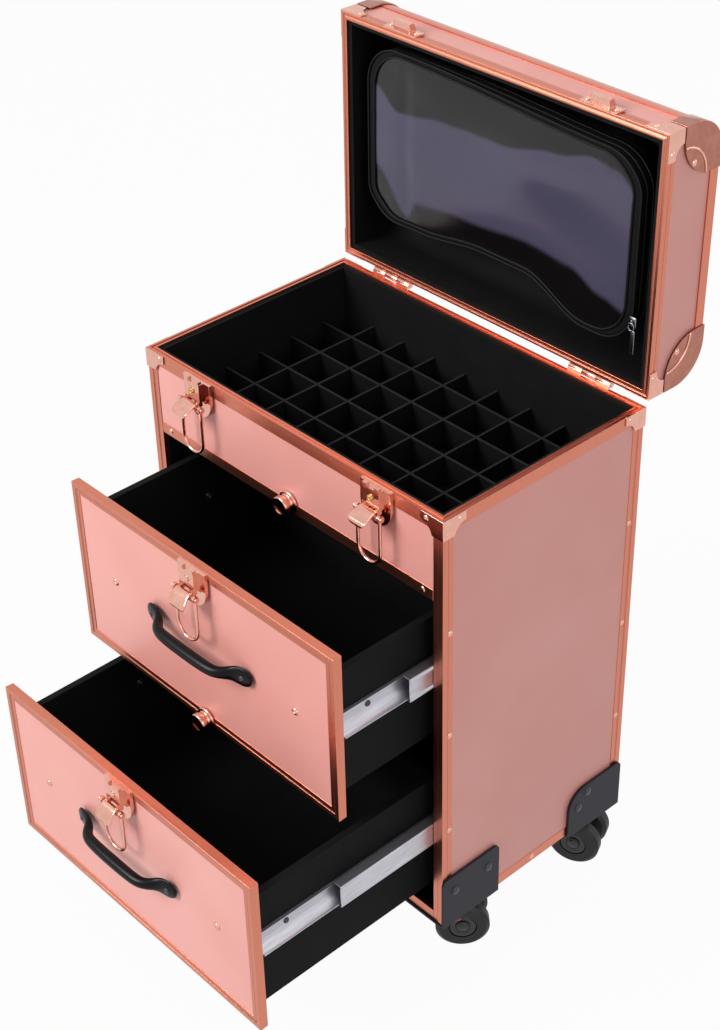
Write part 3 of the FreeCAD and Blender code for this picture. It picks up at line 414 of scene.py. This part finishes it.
# Lid pocket: a black pouch with a clear front and a zip round its wall
POUCH_MIDDLE = Vector((-2.5, -4))
POUCH_HALF = Vector((145.5, 82))
POUCH_CORNER = 34
POUCH_FRONT = 472.5
POUCH_BACK = 513.4
POUCH_BASE_SHARE = Vector((0.95, 0.82))
POUCH_CELLS = 80
POUCH_CELL = 1 / POUCH_CELLS
POUCH_CLOTH = 0.6
# Depths at which the wall of the pouch has a row of points, and how far it swells and crumples
WALL_DEPTHS = (0.06, 0.2, 0.35, 0.5, 0.65, 0.8, 1.0)
WALL_SWELL = 3.2
WALL_CRUMPLE = 2.4
CRUMPLES_PER_MM = 0.035
# Sag of the two long edges along x
LOWER_SAG = [(-125, -14), (-85, -15.5), (-15, -23.5), (30, -23.5), (95, 0)]
UPPER_DROOP = [(-100, 0), (120, 9)]
SAG_START = 0.1

WINDOW_RING = 76 / 80
FILM_THICK = 0.3
FILM_SET_BACK = 0.7
FILM_LAP = 3 * POUCH_CELL
# Swelling of the film, its waves (turn along x, turn along y, first turn, share) and its creases
# (pull along x, pull along y, offset, half width, share)
FILM_CROWN = 1.3
FILM_FULLNESS = 1.6
FILM_WAVES = [(0.043, 0.03, 0.7, 1.0), (-0.022, 0.085, 0, 0.6)]
CREASE_DEPTH = 1.6
FILM_CREASES = [(1, 0, 104, 7, 1.0), (0.12, 1, 38, 9, 0.8)]
# Upper and lower edge of the film's patch of milky haze and painted reflection along x, and how softly each
# fades
HAZE_REFLECTION_TOP = [(-141, -52), (-112, -36), (-60, -43), (0, -44), (60, -56), (95, -64), (120, -60), (140, -46)]
HAZE_REFLECTION_LOW = [(-138, 18), (-103, 54), (-92, 38), (-40, 32), (30, 26), (77, 31), (112, 44), (134, 50)]
HAZE_REFLECTION_TOP_FADE = (-2, 2)
HAZE_REFLECTION_LOW_FADE = (-3, 5)

# Piping round the window and round the front edge: (ring, radius)
PIPING = [(WINDOW_RING, 1.0), (1.0, 0.9)]
PIPING_RISE = 0.5
BAND_SIDES = 8
ZIP_DEPTH = 0.3
TAPE_SHIFT = 0.11
TAPE_RISE = 0.7
TAPE_HALF = (3.6, 0.6)
TEETH_RISE = 0.9
TEETH_SHARES = (0.25, 0.75)
TOOTH = ((-1.7, -0.6, -0.55), (1.7, 1.1, 0.55))
TOOTH_ROUNDING = 0.3


def rounded(u, v):
    """Moves a point of a square grid so that its rings become rounded rectangles."""
    ring = max(abs(u), abs(v), 1e-6)
    spot = Vector((u / ring * POUCH_HALF.x, v / ring * POUCH_HALF.y))
    inner = POUCH_HALF - Vector((POUCH_CORNER, POUCH_CORNER))
    past = Vector((abs(spot.x) - inner.x, abs(spot.y) - inner.y))
    if past.x > 0 and past.y > 0:
        past *= max(past) / past.length
        spot = Vector((math.copysign(inner.x + past.x, spot.x), math.copysign(inner.y + past.y, spot.y)))
    return spot * ring


def pouch_front(u, v):
    """Front of the pouch, crowned and rippled, with its lower edge sagging."""
    spot = rounded(u, v) + POUCH_MIDDLE
    spot.y += smooth_step(SAG_START, 1, v) * between(LOWER_SAG, spot.x)
    spot.y += smooth_step(SAG_START, 1, -v) * between(UPPER_DROOP, spot.x)
    free = (1 - u ** 4) * (1 - v ** 4)
    wave = sum(share * math.sin(spot.x * x_turn + spot.y * y_turn + first)
               for x_turn, y_turn, first, share in FILM_WAVES)
    crease = sum(share * math.exp(-((spot.x * x_pull + spot.y * y_pull + offset) / half) ** 2)
                 for x_pull, y_pull, offset, half, share in FILM_CREASES)
    lift = FILM_CROWN * free * (FILM_FULLNESS + wave) - CREASE_DEPTH * free * crease
    return Vector((spot.x, spot.y, POUCH_FRONT - lift))


def pouch_wall(u, v, depth):
    """Wall of the pouch, from its front edge at depth 0 to the lining at depth 1."""
    edge = pouch_front(u, v)
    base = rounded(u, v) * POUCH_BASE_SHARE + POUCH_MIDDLE
    out = rounded(u, v).normalized()
    crumple = noise.noise(edge * CRUMPLES_PER_MM + Vector((0, 0, depth * 2)))
    slack = WALL_SWELL * math.sin(math.pi * depth) + WALL_CRUMPLE * crumple * depth
    flat = Vector((edge.x, edge.y)).lerp(base, depth) + out * slack
    return Vector((flat.x, flat.y, edge.z + (POUCH_BACK - edge.z) * depth))


def ring_marks(ring):
    """Grid places in order round one square ring."""
    count = round(POUCH_CELLS * ring)
    steps = [-ring + 2 * ring * index / count for index in range(count)]
    return ([(step, -ring) for step in steps] + [(ring, step) for step in steps]
            + [(-step, ring) for step in steps] + [(-ring, -step) for step in steps])


def ring_of(vert):
    """Square ring of the flat grid that a point lies on."""
    return max(abs(vert.co.x), abs(vert.co.y))


def pouch_grid(keep):
    """A grid with its places kept on its points, cut down to the faces that keep allows."""
    mesh = bmesh.new()
    bmesh.ops.create_grid(mesh, x_segments=POUCH_CELLS, y_segments=POUCH_CELLS, size=1)
    across = mesh.verts.layers.float.new("across")
    down = mesh.verts.layers.float.new("down")
    for vert in mesh.verts:
        vert[across] = vert.co.x
        vert[down] = vert.co.y
    spare = [face for face in mesh.faces if not keep(max(ring_of(vert) for vert in face.verts))]
    bmesh.ops.delete(mesh, geom=spare, context="FACES")
    return mesh, across, down


def pocket_pouch():
    """Cloth round the window, drawn out into the wall that runs back to the lining."""
    shell, across, down = pouch_grid(lambda ring: ring > WINDOW_RING + POUCH_CELL)
    outer = [edge for edge in shell.edges
             if edge.is_boundary and all(ring_of(vert) > 1 - POUCH_CELL for vert in edge.verts)]
    for vert in shell.verts:
        vert.co = pouch_front(vert[across], vert[down])
    for depth in WALL_DEPTHS:
        made = bmesh.ops.extrude_edge_only(shell, edges=outer)["geom"]
        outer = [item for item in made if isinstance(item, bmesh.types.BMEdge) and item.is_boundary]
        for vert in [item for item in made if isinstance(item, bmesh.types.BMVert)]:
            vert.co = pouch_wall(vert[across], vert[down], depth)
    pouch = piece("pocket_pouch", shell, fabric, "lid", LID, levels=1, thick=POUCH_CLOTH)
    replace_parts(pouch, "lid_pocket")


def pocket_window():
    """Clear film behind the edge of the pouch, with its patch of milky haze and painted reflection kept on
    its points.
    """
    film, across, down = pouch_grid(lambda ring: ring < WINDOW_RING + FILM_LAP)
    haze_and_reflection = film.verts.layers.float.new("haze_and_reflection")
    for vert in film.verts:
        spot = pouch_front(vert[across], vert[down])
        below_top = spot.y - between(HAZE_REFLECTION_TOP, spot.x)
        below_low = spot.y - between(HAZE_REFLECTION_LOW, spot.x)
        vert[haze_and_reflection] = smooth_step(*HAZE_REFLECTION_TOP_FADE, below_top) * (1 - smooth_step(*HAZE_REFLECTION_LOW_FADE, below_low))
        vert.co = spot + Vector((0, 0, FILM_SET_BACK))
    window = piece("pocket_window", film, clear_film, "lid", LID, levels=1, thick=FILM_THICK)


def pocket_piping():
    trim = bmesh.new()
    forward = Vector((0, 0, -1))
    for ring, radius in PIPING:
        points = [pouch_front(u, v) + forward * PIPING_RISE for u, v in ring_marks(ring)]
        skin(trim, ring_places(points, radius, radius, [forward] * len(points)), BAND_SIDES, True)
    piece("pocket_piping", trim, binding, "lid", LID)


def pocket_zip():
    """Zip round the pouch wall: two tapes and a coil of teeth between them."""
    marks = ring_marks(1.0)
    outward = [Vector((*rounded(u, v).normalized(), 0)) for u, v in marks]
    tape = bmesh.new()
    for shift in (-TAPE_SHIFT, TAPE_SHIFT):
        points = [pouch_wall(u, v, ZIP_DEPTH + shift) + way * TAPE_RISE
                  for (u, v), way in zip(marks, outward)]
        skin(tape, ring_places(points, *TAPE_HALF, outward), BAND_SIDES, True)
    piece("pocket_zip_tape", tape, binding, "lid", LID)
    teeth = bmesh.new()
    points = [pouch_wall(u, v, ZIP_DEPTH) + way * TEETH_RISE for (u, v), way in zip(marks, outward)]
    for index, point in enumerate(points):
        run = points[(index + 1) % len(points)] - point
        for share in TEETH_SHARES:
            place = station(point + run * share, run, outward[index], 1, 1)
            block(teeth, *TOOTH, TOOTH_ROUNDING, place)
    piece("pocket_zip_teeth", teeth, abs_black, "lid", LID)


# Zip slider at the lower right of the pouch: its body, bridge and pull, each as (lowest corner,
# highest corner, rounding), and the wire link between them
SLIDER = Vector((145.5, 53, 470.4))
SLIDER_BODY = ((-3.4, -4.6, -1.5), (3.4, 4.6, 1.5), 1.1)
SLIDER_BRIDGE = ((-1.0, -2.6, -3.0), (1.0, 2.6, -1.0), 0.7)
SLIDER_PULL = ((0.2, 5.6, -3.2), (4.2, 26.0, -1.8), 0.6)
LINK_HALF = (2.8, 3.2)
LINK_DEPTH = -2.6
LINK_WIRE = 0.75
LINK_STEPS = 16


def zip_slider():
    """Slider with a wire link and a pull that hangs straight down."""
    mesh = bmesh.new()
    place = Matrix.Translation(SLIDER)
    block(mesh, *SLIDER_BODY, place)
    block(mesh, *SLIDER_BRIDGE, place)
    turns = [math.tau * index / LINK_STEPS for index in range(LINK_STEPS)]
    link = [SLIDER + Vector((LINK_HALF[0] * math.sin(turn), LINK_HALF[1] * (1 - math.cos(turn)), LINK_DEPTH))
            for turn in turns]
    skin(mesh, ring_places(link, LINK_WIRE, LINK_WIRE, [Vector((0, 0, 1))] * len(link)), BAND_SIDES, True)
    block(mesh, *SLIDER_PULL, place)
    piece("pocket_zip_slider", mesh, slider_metal, "lid", LID)


# Bow handle: (along, out, half height, half thickness) from its middle to one end
BOW = [(0, 16.2, 5.4, 5.2), (24, 16, 5.2, 5.0), (34, 14.8, 4.9, 4.7), (39.5, 11.5, 5.0, 4.4),
       (43, 7.5, 6.0, 4.0), (47, 4.6, 7.8, 3.4), (52, 3.4, 9.2, 2.8), (57, 2.7, 9.0, 2.3),
       (61, 2.0, 6.8, 1.8), (63.8, 1.4, 3.2, 1.2)]
BOW_SIDES = 14
BOW_SCREW_PLACE = (55.5, -5.0)
BOW_SCREW_LEAN = 0.15
BOW_SCREW = 2.6


def bow_handle(name, body, place):
    """Moulded bow handle with flared leaf feet, standing out along -Y from the face."""
    half = [Vector((along, -out, 0)) for along, out, _, _ in BOW]
    points = [Vector((-spot.x, spot.y, 0)) for spot in reversed(half[1:])] + half
    sizes = list(reversed(BOW[1:])) + BOW
    places = []
    for index, (point, size) in enumerate(zip(points, sizes)):
        after = points[min(index + 1, len(points) - 1)]
        before = points[max(index - 1, 0)]
        places.append(station(point, after - before, Vector((0, 0, 1)), size[3], size[2]))
    mesh = bmesh.new()
    skin(mesh, places, BOW_SIDES)
    handle = piece(f"{name}_bow", mesh, grip_black, body, place, levels=2)
    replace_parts(handle, name)
    screws = bmesh.new()
    along, out = BOW_SCREW_PLACE
    for side in SIDES:
        screw_head(screws, Vector((side * along, out, 0)), (side * BOW_SCREW_LEAN, -1, 0), BOW_SCREW)
    piece(f"{name}_screws", screws, dark_screw, body, place)


# Turned stud: (radius, height) from the face outwards
STUD = [(0, 0), (9.8, 0), (10, 0.5), (10, 1.3), (9.6, 2.0), (8.7, 2.2), (7.5, 2.4), (7.0, 2.9), (6.9, 4.8),
        (7.3, 5.4), (8.0, 5.7), (8.2, 6.2), (8.2, 9.5), (7.9, 10.1), (7.2, 10.4), (6.4, 10.4), (6.0, 10.0),
        (0, 9.9)]


def turned_stud(node, body):
    low, high = corners(node)
    foot = Vector(((low.x + high.x) / 2, high.y, (low.z + high.z) / 2))
    mesh = bmesh.new()
    lathe(mesh, facing(foot, (0, -1, 0)), STUD, steps=40)
    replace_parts(piece(f"{node}_turned", mesh, plate, body), node)


# Thumb lever, a rolled sheet: (out, up, half width) from the roll round the pin to the turned-down lip
LEVER_ROLL = [(1.9 * math.cos(math.radians(turn)), 1.9 * math.sin(math.radians(turn)), 4.8)
              for turn in range(-150, 70, 30)]
LEVER_TAB = [(1.3, 2.7, 6.4), (1.2, 3.3, 8.0), (0.2, 3.6, 8.4), (-2, 3.4, 8.6), (-4.6, 2.8, 8.8),
             (-8, 1.9, 9.1), (-10.6, 1.1, 9.3), (-11.7, 0.6, 9.2), (-12.5, -0.3, 8.8), (-12.9, -1.4, 8.0),
             (-13, -2.8, 6.6), (-13, -3.8, 4.4)]
LEVER_ROWS = LEVER_ROLL + LEVER_TAB
LEVER_COLUMNS = (-1, -0.93, -0.5, 0, 0.5, 0.93, 1)
LEVER_SHEET = 1.2
# The stop that every lever meets is this many degrees above level
LEVER_STOP = 15


def thumb_lever(latch):
    """Thumb tab rolled round the latch pin, turned down from level as it stands."""
    turn = joint(f"{latch}_lever_turn")
    drop = math.radians(turn["range_deg"][1] - LEVER_STOP)
    mesh = bmesh.new()
    bmesh.ops.create_grid(mesh, x_segments=len(LEVER_COLUMNS) - 1, y_segments=len(LEVER_ROWS) - 1, size=1)
    for index, vert in enumerate(mesh.verts):
        row, column = divmod(index, len(LEVER_COLUMNS))
        out, up, half = LEVER_ROWS[row]
        vert.co = (half * LEVER_COLUMNS[column], out, up)
    place = Matrix.Translation(turn["pos_m"]) @ Matrix.Rotation(drop, 4, "X")
    lever = piece(f"{latch}_thumb_lever", mesh, plate, f"{latch}_lever", place, levels=1,
                  thick=LEVER_SHEET)
    lever.modifiers["wall"].offset = 0
    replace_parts(lever, f"{latch}_latch_lever")


WELD_DISTANCE = 0.01 * MM
SOFT_EDGE = math.radians(38)


def soften(width, *names):
    """Rounds the sharp edges of a node as rolled and moulded pieces are."""
    for name in names:
        weld = nodes[name].modifiers.new("weld", "WELD")
        weld.merge_threshold = WELD_DISTANCE
        edge = nodes[name].modifiers.new("edge", "BEVEL")
        edge.width = width * MM
        edge.segments = 2
        edge.limit_method = "ANGLE"
        edge.angle_limit = SOFT_EDGE
        edge.harden_normals = True
        edge.use_clamp_overlap = True


# Screws that show on the fronts, on the drawer walls (y, height) and on the keepers
FRONT_SCREW = 3.3
FRONT_SCREW_X = 110
FRONT_SCREW_RISE = 1.5
WALL_SCREW = 3.6
WALL_SCREWS = {"upper": (-79, 317.5), "lower": (-169, 164)}
WALL_SCREW_STEPS = (0, 96)
DRAWER_WALL = 6
KEEPER_SCREW = 2.4
KEEPER_X = 103
KEEPER_FACE = (-108.7, 469.2)
KEEPER_SCREW_SHIFTS = (-14, 14)


def drawer_screws(drawer):
    low, high = corners(f"{drawer}_front_panel")
    height = (low.z + high.z) / 2 + FRONT_SCREW_RISE
    mesh = bmesh.new()
    for side in SIDES:
        screw_head(mesh, Vector((side * FRONT_SCREW_X, low.y, height)), (0, -1, 0), FRONT_SCREW)
    piece(f"{drawer}_front_screws", mesh, plate, f"{drawer}_drawer")
    inside = corners(f"{drawer}_drawer_box")[0].x + DRAWER_WALL
    y, height = WALL_SCREWS[drawer]
    mesh = bmesh.new()
    for side in SIDES:
        for shift in WALL_SCREW_STEPS:
            screw_head(mesh, Vector((side * -inside, y - shift, height)), (-side, 0, 0), WALL_SCREW)
    piece(f"{drawer}_wall_screws", mesh, dark_screw, f"{drawer}_drawer")


def keeper_screws():
    mesh = bmesh.new()
    for side in SIDES:
        for shift in KEEPER_SCREW_SHIFTS:
            screw_head(mesh, Vector((side * KEEPER_X + shift, *KEEPER_FACE)), (0, -1, 0), KEEPER_SCREW)
    piece("keeper_screws", mesh, plate, "lid", LID)


# Lid caps: a raised rib round each cap rivet, concentric with the corner
CAP_FACE = 171.2
RIB_CENTRE = (66.5, 481.8)
RIB_RADIUS = 25.4
RIB_START = math.radians(1)
RIB_SWEEP = math.radians(90.5)
# Section of the rib: (out from its middle line, height), closed
RIB_SECTION = [(-1.1, 0), (-0.66, 0.8), (0, 1.1), (0.66, 0.8), (1.1, 0), (-1.1, 0)]


def cap_ribs():
    outline = [(RIB_RADIUS + out, height) for out, height in RIB_SECTION]
    mesh = bmesh.new()
    for side in SIDES:
        for end in SIDES:
            centre = Vector((side * CAP_FACE, end * RIB_CENTRE[0], RIB_CENTRE[1]))
            axes = Matrix(((0, 0, side), (end, 0, 0), (0, 1, 0))).to_4x4()
            place = Matrix.Translation(centre) @ axes @ Matrix.Rotation(RIB_START, 4, "Z")
            lathe(mesh, place, outline, steps=20, angle=RIB_SWEEP)
    bmesh.ops.remove_doubles(mesh, verts=mesh.verts, dist=0.01)
    bmesh.ops.holes_fill(mesh, edges=[edge for edge in mesh.edges if edge.is_boundary], sides=0)
    piece("cap_ribs", mesh, plate, "lid", LID)


# Lock barrel with a key hole: (radius, height) from the latch plate, and its place from the lever's pin
BARREL = [(2.8, -0.8), (2.8, 0.3), (2.4, 0.6), (1.1, 0.6), (0.9, 0.1), (0, 0.1)]
BARREL_FROM_PIN = Vector((0, 1.2, 12))


def lock_barrels():
    """Brass lock barrels in the two lid latches."""
    mesh = bmesh.new()
    for latch in ("left", "right"):
        pin = Vector(joint(f"{latch}_lever_turn")["pos_m"]) / MM
        lathe(mesh, facing(pin + BARREL_FROM_PIN, (0, -1, 0)), BARREL)
    piece("lock_barrels", mesh, brass, "case")


# Hub cap: (radius, height) from the wheel's face, which is HUB_FACE from the middle of the axle
HUB_CAP = [(11.6, 0), (11.6, 1.2), (10.6, 1.9), (8.2, 1.2), (5.4, 1.0), (4.6, 2.2), (3.2, 2.8), (0, 3.0)]
HUB_FACE = 17.0
# The brake tab stands out from the hood, turned from the trail
BRAKE_TURN = math.radians(75)
BRAKE_HEIGHT = 48.6
BRAKE_TAB = ((17, -4.5, -1.5), (36, 4.5, 1.5), 0.9)


def caster_details(corner):
    """Hub caps on the wheels and a red brake tab on the front hoods."""
    roll = joint(f"{corner}_wheels_roll")
    centre = Vector(roll["pos_m"]) / MM
    axis = Vector(roll["axis"])
    mesh = bmesh.new()
    for side in SIDES:
        lathe(mesh, facing(centre + axis * side * HUB_FACE, axis * side), HUB_CAP, steps=32)
    piece(f"{corner}_hub_caps", mesh, abs_black, f"{corner}_wheels")
    if corner.startswith("front"):
        stem = Vector(joint(f"{corner}_swivel_turn")["pos_m"]) / MM
        away = math.atan2(centre.y - stem.y, centre.x - stem.x) - BRAKE_TURN
        place = Matrix.Translation((stem.x, stem.y, BRAKE_HEIGHT)) @ Matrix.Rotation(away, 4, "Z")
        tab = bmesh.new()
        block(tab, *BRAKE_TAB, place)
        piece(f"{corner}_brake_tab", tab, brake_red, f"{corner}_swivel")


# Rolled drawer member, a narrow lip over a web with a wide cove below: (out from the drawer, height)
RUNNER = [(0, -9), (9.3, -9), (9.3, -8.3), (7.6, -8.0), (5.6, -7.2), (3.9, -5.9), (2.5, -4.2), (1.6, -2.2),
          (1.2, -0.2), (1.2, 6.4), (1.4, 7.3), (1.9, 7.9), (2.8, 8.2), (2.8, 9), (0, 9)]
RUNNER_SHEET = 1.2
RUNNER_CREASE = math.radians(35)
# Screws in the drawer members: y of each, height over the middle and radius
SLIDE_SCREWS = {"upper": -164, "lower": -252.6}
SCREW_RISE = 2.5
SLIDE_SCREW = 2.6
# Rolled beads of the middle members: distance from the edges and the ends, and half sizes
BEAD_INSET = 2.4
BEAD_END = 0.4
BEAD_HALF = (0.3, 1.5)


def slide_runners(drawer):
    """The two drawer members of a drawer, each one outline drawn out along Y."""
    low, high = corners(f"{drawer}_slide_drawer_members")
    face = corners(f"{drawer}_drawer_box")[1].x
    middle = (low.z + high.z) / 2
    mesh = bmesh.new()
    screws = bmesh.new()
    for side in SIDES:
        outline = [mesh.verts.new((side * (face + out), low.y, middle + height)) for out, height in RUNNER]
        end = mesh.faces.new(outline)
        drawn = bmesh.ops.extrude_face_region(mesh, geom=[end], use_keep_orig=True)
        bmesh.ops.translate(mesh, vec=(0, high.y - low.y, 0),
                            verts=[item for item in drawn["geom"] if isinstance(item, bmesh.types.BMVert)])
        seat = Vector((side * (face + RUNNER_SHEET), SLIDE_SCREWS[drawer], middle + SCREW_RISE))
        screw_head(screws, seat, (side, 0, 0), SLIDE_SCREW)
    runners = piece(f"{drawer}_slide_runners", mesh, zinc, f"{drawer}_drawer")
    runners.data.set_sharp_from_angle(angle=RUNNER_CREASE)
    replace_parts(runners, f"{drawer}_slide_drawer_members")
    piece(f"{drawer}_slide_screws", screws, dark_screw, f"{drawer}_drawer")


def slide_beads(drawer):
    """Rolled beads along the middle members."""
    low, high = corners(f"{drawer}_slide_middle_members")
    stops = (low.y + BEAD_END, (low.y + high.y) / 2, high.y - BEAD_END)
    along = Vector((0, 1, 0))
    up = Vector((0, 0, 1))
    beads = bmesh.new()
    for side in SIDES:
        for height in (low.z + BEAD_INSET, high.z - BEAD_INSET):
            skin(beads, [station(Vector((side * high.x, y, height)), along, up, *BEAD_HALF) for y in stops])
    piece(f"{drawer}_slide_beads", beads, zinc, f"{drawer}_slide_middles")


# Rivets of the wheel brackets: (y, height) of each, and (radius, height) of their heads from the bracket
BRACKET_RIVETS = [(-94.5, 89), (-56.5, 89), (65, 94), (54, 82)]
RIVET_HEAD = [(4.0, 0), (3.9, 0.5), (3.3, 1.15), (2.0, 1.6), (0, 1.75)]


def bracket_rivet_caps():
    """Black pan heads on the wheel brackets."""
    mesh = bmesh.new()
    face = corners("wheel_brackets")[1].x
    for side in SIDES:
        for y, height in BRACKET_RIVETS:
            lathe(mesh, facing(Vector((side * face, y, height)), (side, 0, 0)), RIVET_HEAD, steps=24)
    piece("bracket_rivet_caps", mesh, dark_screw, "case")


pocket_pouch()
pocket_window()
pocket_piping()
pocket_zip()
zip_slider()
for drawer in DRAWERS:
    low, high = corners(f"{drawer}_handle")
    middle = Vector((0, high.y, (low.z + high.z) / 2))
    bow_handle(f"{drawer}_handle", f"{drawer}_drawer", Matrix.Translation(middle * MM))
lid_face = Matrix.Translation((0, 0, LID_TOP * MM)) @ Matrix.Rotation(-math.pi / 2, 4, "X")
bow_handle("lid_handle", "lid", LID @ lid_face)
turned_stud("panel_stud", "case")
turned_stud("upper_stud", "upper_drawer")
for latch in LATCHES:
    thumb_lever(latch)
for drawer in DRAWERS:
    drawer_screws(drawer)
keeper_screws()
cap_ribs()
lock_barrels()
bracket_rivet_caps()
for drawer in DRAWERS:
    slide_runners(drawer)
    slide_beads(drawer)
for corner in CASTERS:
    caster_details(corner)
soften(0.5, "corner_posts", "rim_rails", "lower_rails", "lid_rim_rails", "upper_front_edging",
       "lower_front_edging")
soften(0.8, "body_latch_cases", "upper_latch_case", "lower_latch_case")
soften(0.4, "lid_keepers", "lid_corner_caps", "lid_corner_pieces", "case_corner_pieces",
       "case_hinge_leaves", "lid_hinge_leaves")
soften(0.7, "wheel_brackets", "upper_drawer_box", "lower_drawer_box")
soften(0.5, "upper_slide_middle_members", "lower_slide_middle_members")


# Floor, light and camera, in metres
FLOOR_HALF = 6
# How far the floor is lifted to white where it is seen straight
FLOOR_LIFT = 0.96
# Strength of the white room on things, and as it is seen
ROOM_LIGHT = 0.25
ROOM_SEEN = 1.0
WHITE = (1, 1, 1, 1)
# Soft boxes: place, target, width and power
LAMPS = {
    "key": ((-1.1, -2.6, 2.2), (0, 0, 0.35), 1.6, 112),
    "fill": ((2.6, -0.4, 1.4), (0, 0, 0.35), 1.4, 18),
    "top": ((0.0, 0.4, 3.0), (0, 0, 0.3), 1.8, 12),
    "rear": ((0.3, 2.8, 1.4), (0, 0, 0.45), 2.0, 16),
}
EYE = Vector((0.95764, -0.88753, 1.25667))
LOOK = Vector((-0.6088, 0.5427, -0.5787))
ROLL = math.radians(-1.58)
LENS = 68.05
SENSOR = 36


def seen_directly(tree):
    """1 for what the eye sees straight, in a mirror or through glass, 0 for light that falls on things."""
    path = add(tree, "ShaderNodeLightPath")
    seen = path.outputs["Is Camera Ray"]
    for ray in ("Is Glossy Ray", "Is Transmission Ray"):
        seen = add(tree, "ShaderNodeMath", {"operation": "MAXIMUM"}, seen, path.outputs[ray]).outputs[0]
    return seen


def stage_floor():
    """Matt white floor. What looks straight at it sees it lifted to white, with the shadow kept."""
    mesh = bmesh.new()
    bmesh.ops.create_grid(mesh, x_segments=1, y_segments=1, size=FLOOR_HALF)
    data = bpy.data.meshes.new("floor")
    mesh.to_mesh(data)
    mesh.free()
    floor = bpy.data.objects.new("floor", data)
    bpy.context.collection.objects.link(floor)
    material, tree, shader = start("matt_white_floor", roughness=0.9)
    shader.inputs["Base Color"].default_value = linear("#BEBEBE")
    white = add(tree, "ShaderNodeEmission", {"Color": WHITE, "Strength": 1.0})
    lift = add(tree, "ShaderNodeMath", {"operation": "MULTIPLY"}, seen_directly(tree))
    lift.inputs[1].default_value = FLOOR_LIFT
    mix = add(tree, "ShaderNodeMixShader", None, lift.outputs[0], shader.outputs[0], white.outputs[0])
    tree.links.new(mix.outputs[0], tree.nodes["Material Output"].inputs["Surface"])
    data.materials.append(material)


def lamp(name, place, target, size, power):
    """A square soft box that looks at its target."""
    data = bpy.data.lights.new(name, "AREA")
    data.shape = "SQUARE"
    data.size = size
    data.energy = power
    item = bpy.data.objects.new(name, data)
    item.location = place
    item.rotation_euler = (Vector(target) - Vector(place)).to_track_quat("-Z", "Y").to_euler()
    bpy.context.collection.objects.link(item)


def white_room():
    """World that is white to the eye and lights things softly."""
    world = bpy.data.worlds.new("white_room")
    bpy.context.scene.world = world
    world.use_nodes = True
    tree = world.node_tree
    back = tree.nodes["Background"]
    back.inputs["Color"].default_value = WHITE
    span = {"To Min": ROOM_LIGHT, "To Max": ROOM_SEEN}
    level = add(tree, "ShaderNodeMapRange", span, Value=seen_directly(tree))
    tree.links.new(level.outputs["Result"], back.inputs["Strength"])


def camera():
    """Camera fitted to the photograph, with its small roll."""
    forward = LOOK.normalized()
    level = forward.cross(Vector((0, 0, 1))).normalized()
    above = level.cross(forward)
    right = level * math.cos(ROLL) + above * math.sin(ROLL)
    up = above * math.cos(ROLL) - level * math.sin(ROLL)
    data = bpy.data.cameras.new("camera")
    data.sensor_fit = "VERTICAL"
    data.sensor_height = SENSOR
    data.lens = LENS
    item = bpy.data.objects.new("camera", data)
    turn = Matrix((right, up, -forward)).transposed()
    item.matrix_world = Matrix.Translation(EYE) @ turn.to_4x4()
    bpy.context.collection.objects.link(item)
    bpy.context.scene.camera = item


stage_floor()
for name, settings in LAMPS.items():
    lamp(name, *settings)
white_room()
camera()
bpy.context.scene.view_settings.view_transform = "Standard"
